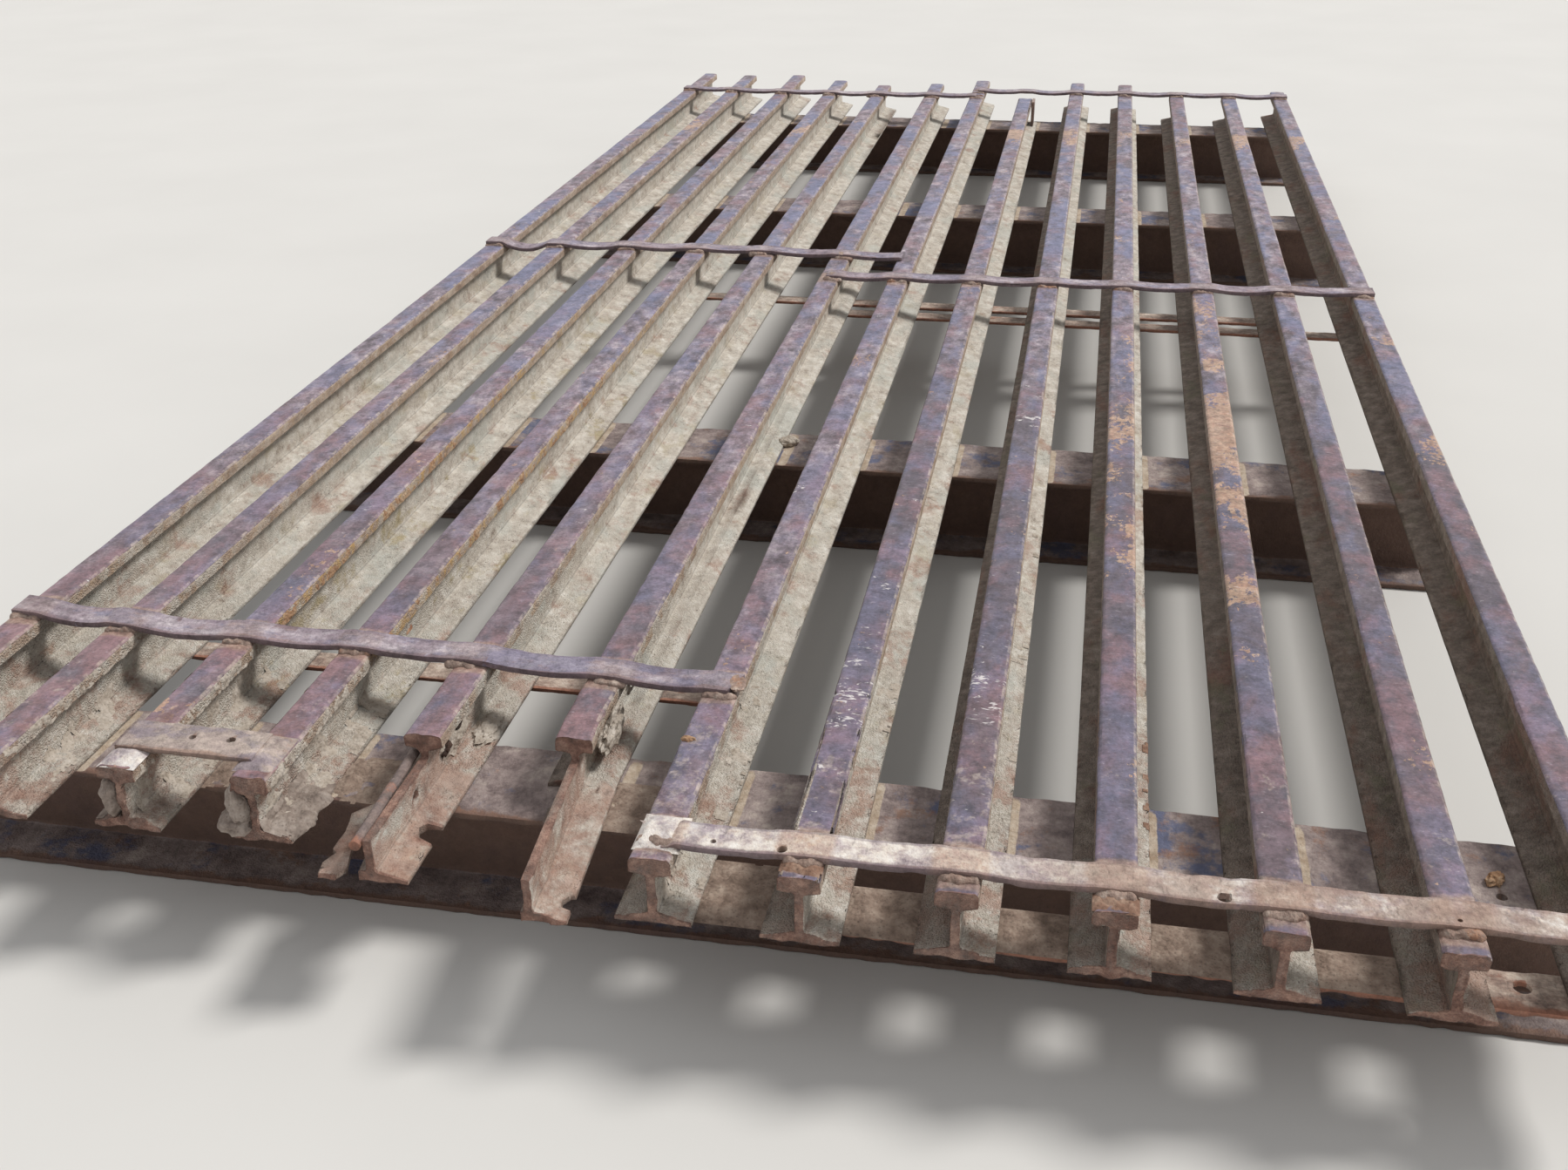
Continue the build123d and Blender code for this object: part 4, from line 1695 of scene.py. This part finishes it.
def crusts() -> list[Crust]:
    """What is caked on the rails' sides, most of it near the front.

    Returns:
        The crusts.
    """
    flank, foot, edge, side = Band.FLANK, Band.FOOT, Band.EDGE, Band.HEAD_SIDE
    pale, grey, ochre, brown = PALE_CRUST, GREY_CONCRETE, OCHRE_CRUST, BROWN_CRUST
    made = [
        Crust("crust_rail_02_flank", 1, 1, flank, (-0.12, 0.24), pale, 0.005, -0.15, seed=2),
        Crust("crust_rail_03_flank", 2, 1, flank, (-0.115, 0.34), pale, 0.006, -0.05, seed=3),
        Crust("crust_rail_04_flank", 3, 1, flank, (-0.11, 0.30), pale, 0.006, -0.05, seed=4),
        Crust("concrete_rail_04_foot", 3, 1, foot, (-0.124, 0.04), grey, 0.016, 0.45, 20, seed=5),
        Crust("mud_rail_04_left", 3, -1, flank, (-0.125, 0.06), grey, 0.018, 0.35, 18, seed=6),
        Crust("mud_rail_03_left", 2, -1, flank, (-0.130, 0.02), grey, 0.012, 0.1, 22, seed=7),
        Crust("rust_patch_rail_04", 3, 1, Band.WEB, (0.43, 0.56), ORANGE_RUST, 0.003, -0.1, 50, 0.0035, 11),
        Crust("crust_rail_05_edge", 4, 1, edge, (0.10, 0.30), pale, 0.014, 0.0, 24, seed=10),
        Crust("crust_rail_07_flank", 6, 1, flank, (-0.19, 0.50), pale, 0.003, -0.1, seed=12),
        Crust("crust_rail_08_flank", 7, 1, flank, (0.3, 1.3), pale, 0.003, -0.3, 22, 0.006, 13),
        Crust("crust_rail_09_flank", 8, 1, flank, (0.2, 1.2), pale, 0.003, -0.25, 22, 0.006, 14),
        Crust("rust_rail_10_edge", 9, 1, edge, (-0.1, 0.4), RUSTY_LUMP, 0.005, -0.1, 40, seed=15),
        Crust("rust_rail_12_edge", 11, 1, edge, (0.0, 0.3), ochre, 0.007, -0.2, 30, seed=16),
    ]
    for rail in range(1, 6):
        start = 0.10 if rail in (4, 5) else -0.12
        name = f"rail_{rail + 1:02d}_head"
        span = (start, 0.36)
        made.append(Crust(f"crust_front_{name}", rail, 1, side, span, pale, 0.0034, 0.0, 60, 0.004, rail))
        if rail in (2, 3):
            span = (0.3, 1.7)
            crust = Crust(f"crust_right_{name}", rail, 1, side, span, ochre, 0.0034, -0.1, 30, 0.006, rail)
            made.append(crust)
        if rail < 4:
            span = (start, 0.2)
            crust = Crust(f"crust_left_{name}", rail, -1, side, span, brown, 0.0028, 0.1, 40, 0.005, rail)
            made.append(crust)
    return made


def muds() -> list[Mud]:
    """Mud on the sole plate and the front beam, and metal that has run over the rail heads.

    Returns:
        The heaps.
    """
    made = []
    reaches = (
        (6, -0.117, 0.145),
        (7, -0.125, 0.110),
        (8, -0.130, 0.095),
        (9, -0.130, 0.100),
        (10, -0.135, 0.08),
    )
    for rail, station, length in reaches:
        middle = ((RAIL_X[rail] + RAIL_X[rail + 1]) / 2 + 0.004, station)
        name = f"mud_sole_plate_{rail + 1:02d}"
        made.append(Mud(name, middle, (0.125, length), RAIL_BASE, GREY_MUD, 0.009, 0.6, seed=rail))
    for rail, depth in ((2, 0.008), (3, 0.014), (5, 0.008)):
        middle = ((RAIL_X[rail] + RAIL_X[rail + 1]) / 2, 0.06)
        name = f"mud_front_beam_{rail + 1:02d}"
        made.append(Mud(name, middle, (0.12, 0.13), RAIL_BASE, GREY_MUD, depth, 0.25, seed=rail))
    head = HEAD_TOP - 0.002
    cream, brown, rust = DUSTY_BAR_FINISH, BROWN_BAR_FINISH, RUSTY_LUMP
    seven, four, three, ten, eight = (RAIL_X[index] for index in (6, 3, 2, 9, 7))
    made += [
        Mud("weld_run_rail_07", (seven + 0.003, -0.14), (0.068, 0.085), head, cream, 0.013, 0.8, 26, seed=20),
        Mud("weld_run_rail_04", (four - 0.004, -0.050), (0.062, 0.100), head, brown, 0.011, 0.85, seed=21),
        Mud("weld_run_rail_03", (three + 0.002, -0.070), (0.062, 0.110), head, cream, 0.009, 0.6, seed=22),
        Mud("rust_run_rail_10", (ten, -0.188), (0.062, 0.036), head, rust, 0.009, 0.5, 45, 0.003, 23),
        Mud("rust_run_rail_08", (eight, -0.186), (0.060, 0.030), head, rust, 0.008, 0.4, 45, 0.003, 24),
    ]
    return made


def lumps_of_dirt() -> list[Lump]:
    """Weld blobs at the bars' ends, concrete in the stubs, dark lumps of painted shade in rail 5's web and
    the few clods that lie on the steel.

    Returns:
        The lumps.
    """
    low, top = RAIL_BASE, HEAD_TOP
    bar_top = top + 0.008
    twelve, seven, six, five, four, three = (RAIL_X[index] for index in (11, 6, 5, 4, 3, 2))
    weld, grey, pale, shaded, ochre = WELD_FINISH, GREY_CONCRETE, PALE_CRUST, SHADED_HOLLOW, OCHRE_CRUST
    flaky = (0, 0.6, 2.6)
    sharp = (0, 0.5, 1.8)
    rows = (
        ("weld_blob_front_left_bar", weld, 1, (seven + 0.022, 0.262, bar_top), (0.030, 0.050, 0.013), 12),
        ("weld_blob_middle_left_bar", weld, 2, (six - 0.010, 2.735, bar_top), (0.024, 0.046, 0.012)),
        ("weld_blob_middle_right_bar", weld, 3, (six - 0.004, 2.525, bar_top), (0.022, 0.050, 0.013)),
        ("concrete_rail_04_web", grey, 4, (four - 0.027, -0.090, low + 0.055), (0.044, 0.080, 0.085)),
        ("concrete_rail_04_toe", grey, 8, (four - 0.036, -0.104, low + 0.022), (0.060, 0.060, 0.036), 10),
        ("concrete_rail_05_web", pale, 10, (five + 0.019, 0.150, low + 0.052), (0.030, 0.150, 0.074), *flaky),
        ("concrete_rail_05_flap", pale, 11, (five + 0.050, 0.215, low + 0.013), (0.042, 0.09, 0.02), *flaky),
        # Dark lumps in rail 5's web: painted shade where the web has hollows
        ("hollow_rail_05_front", shaded, 12, (five + 0.026, 0.100, low + 0.050), (0.018, 0.034, 0.024), *sharp),
        ("hollow_rail_05_back", shaded, 13, (five + 0.031, 0.150, low + 0.064), (0.010, 0.026, 0.014), *sharp),
        ("concrete_rail_06_web", pale, 14, (six + 0.016, 0.180, low + 0.062), (0.024, 0.110, 0.060), *flaky),
        ("concrete_rail_03_web", grey, 9, (three - 0.022, -0.100, low + 0.050), (0.034, 0.07, 0.08)),
        ("rust_crumb_rail_07", ochre, 5, (seven - 0.018, 0.098, top), (0.022, 0.012, 0.010), 0, 0.45, 2.2),
        ("clod_front_middle_beam", pale, 6, (seven - 0.134, 1.54, low + 0.008), (0.05, 0.04, 0.024), 30),
        ("clod_front_beam", ochre, 7, (twelve + 0.11, 0.1, low + 0.004), (0.032, 0.022, 0.016), 50, 0.5, 2),
    )
    return [Lump(*row) for row in rows]


def main() -> None:
    """Builds every piece, the studio and the camera."""
    logging.basicConfig(level=logging.INFO, format="%(message)s")
    for maker in [*rails(), *plates(), *welds(), *crusts(), *muds(), *lumps_of_dirt()]:
        shown = maker.build()
        LOG.info("%s: %d faces", shown.name, len(shown.data.polygons))
    Studio().build()
    CameraPlace().build()


if __name__ == "__main__":
    main()
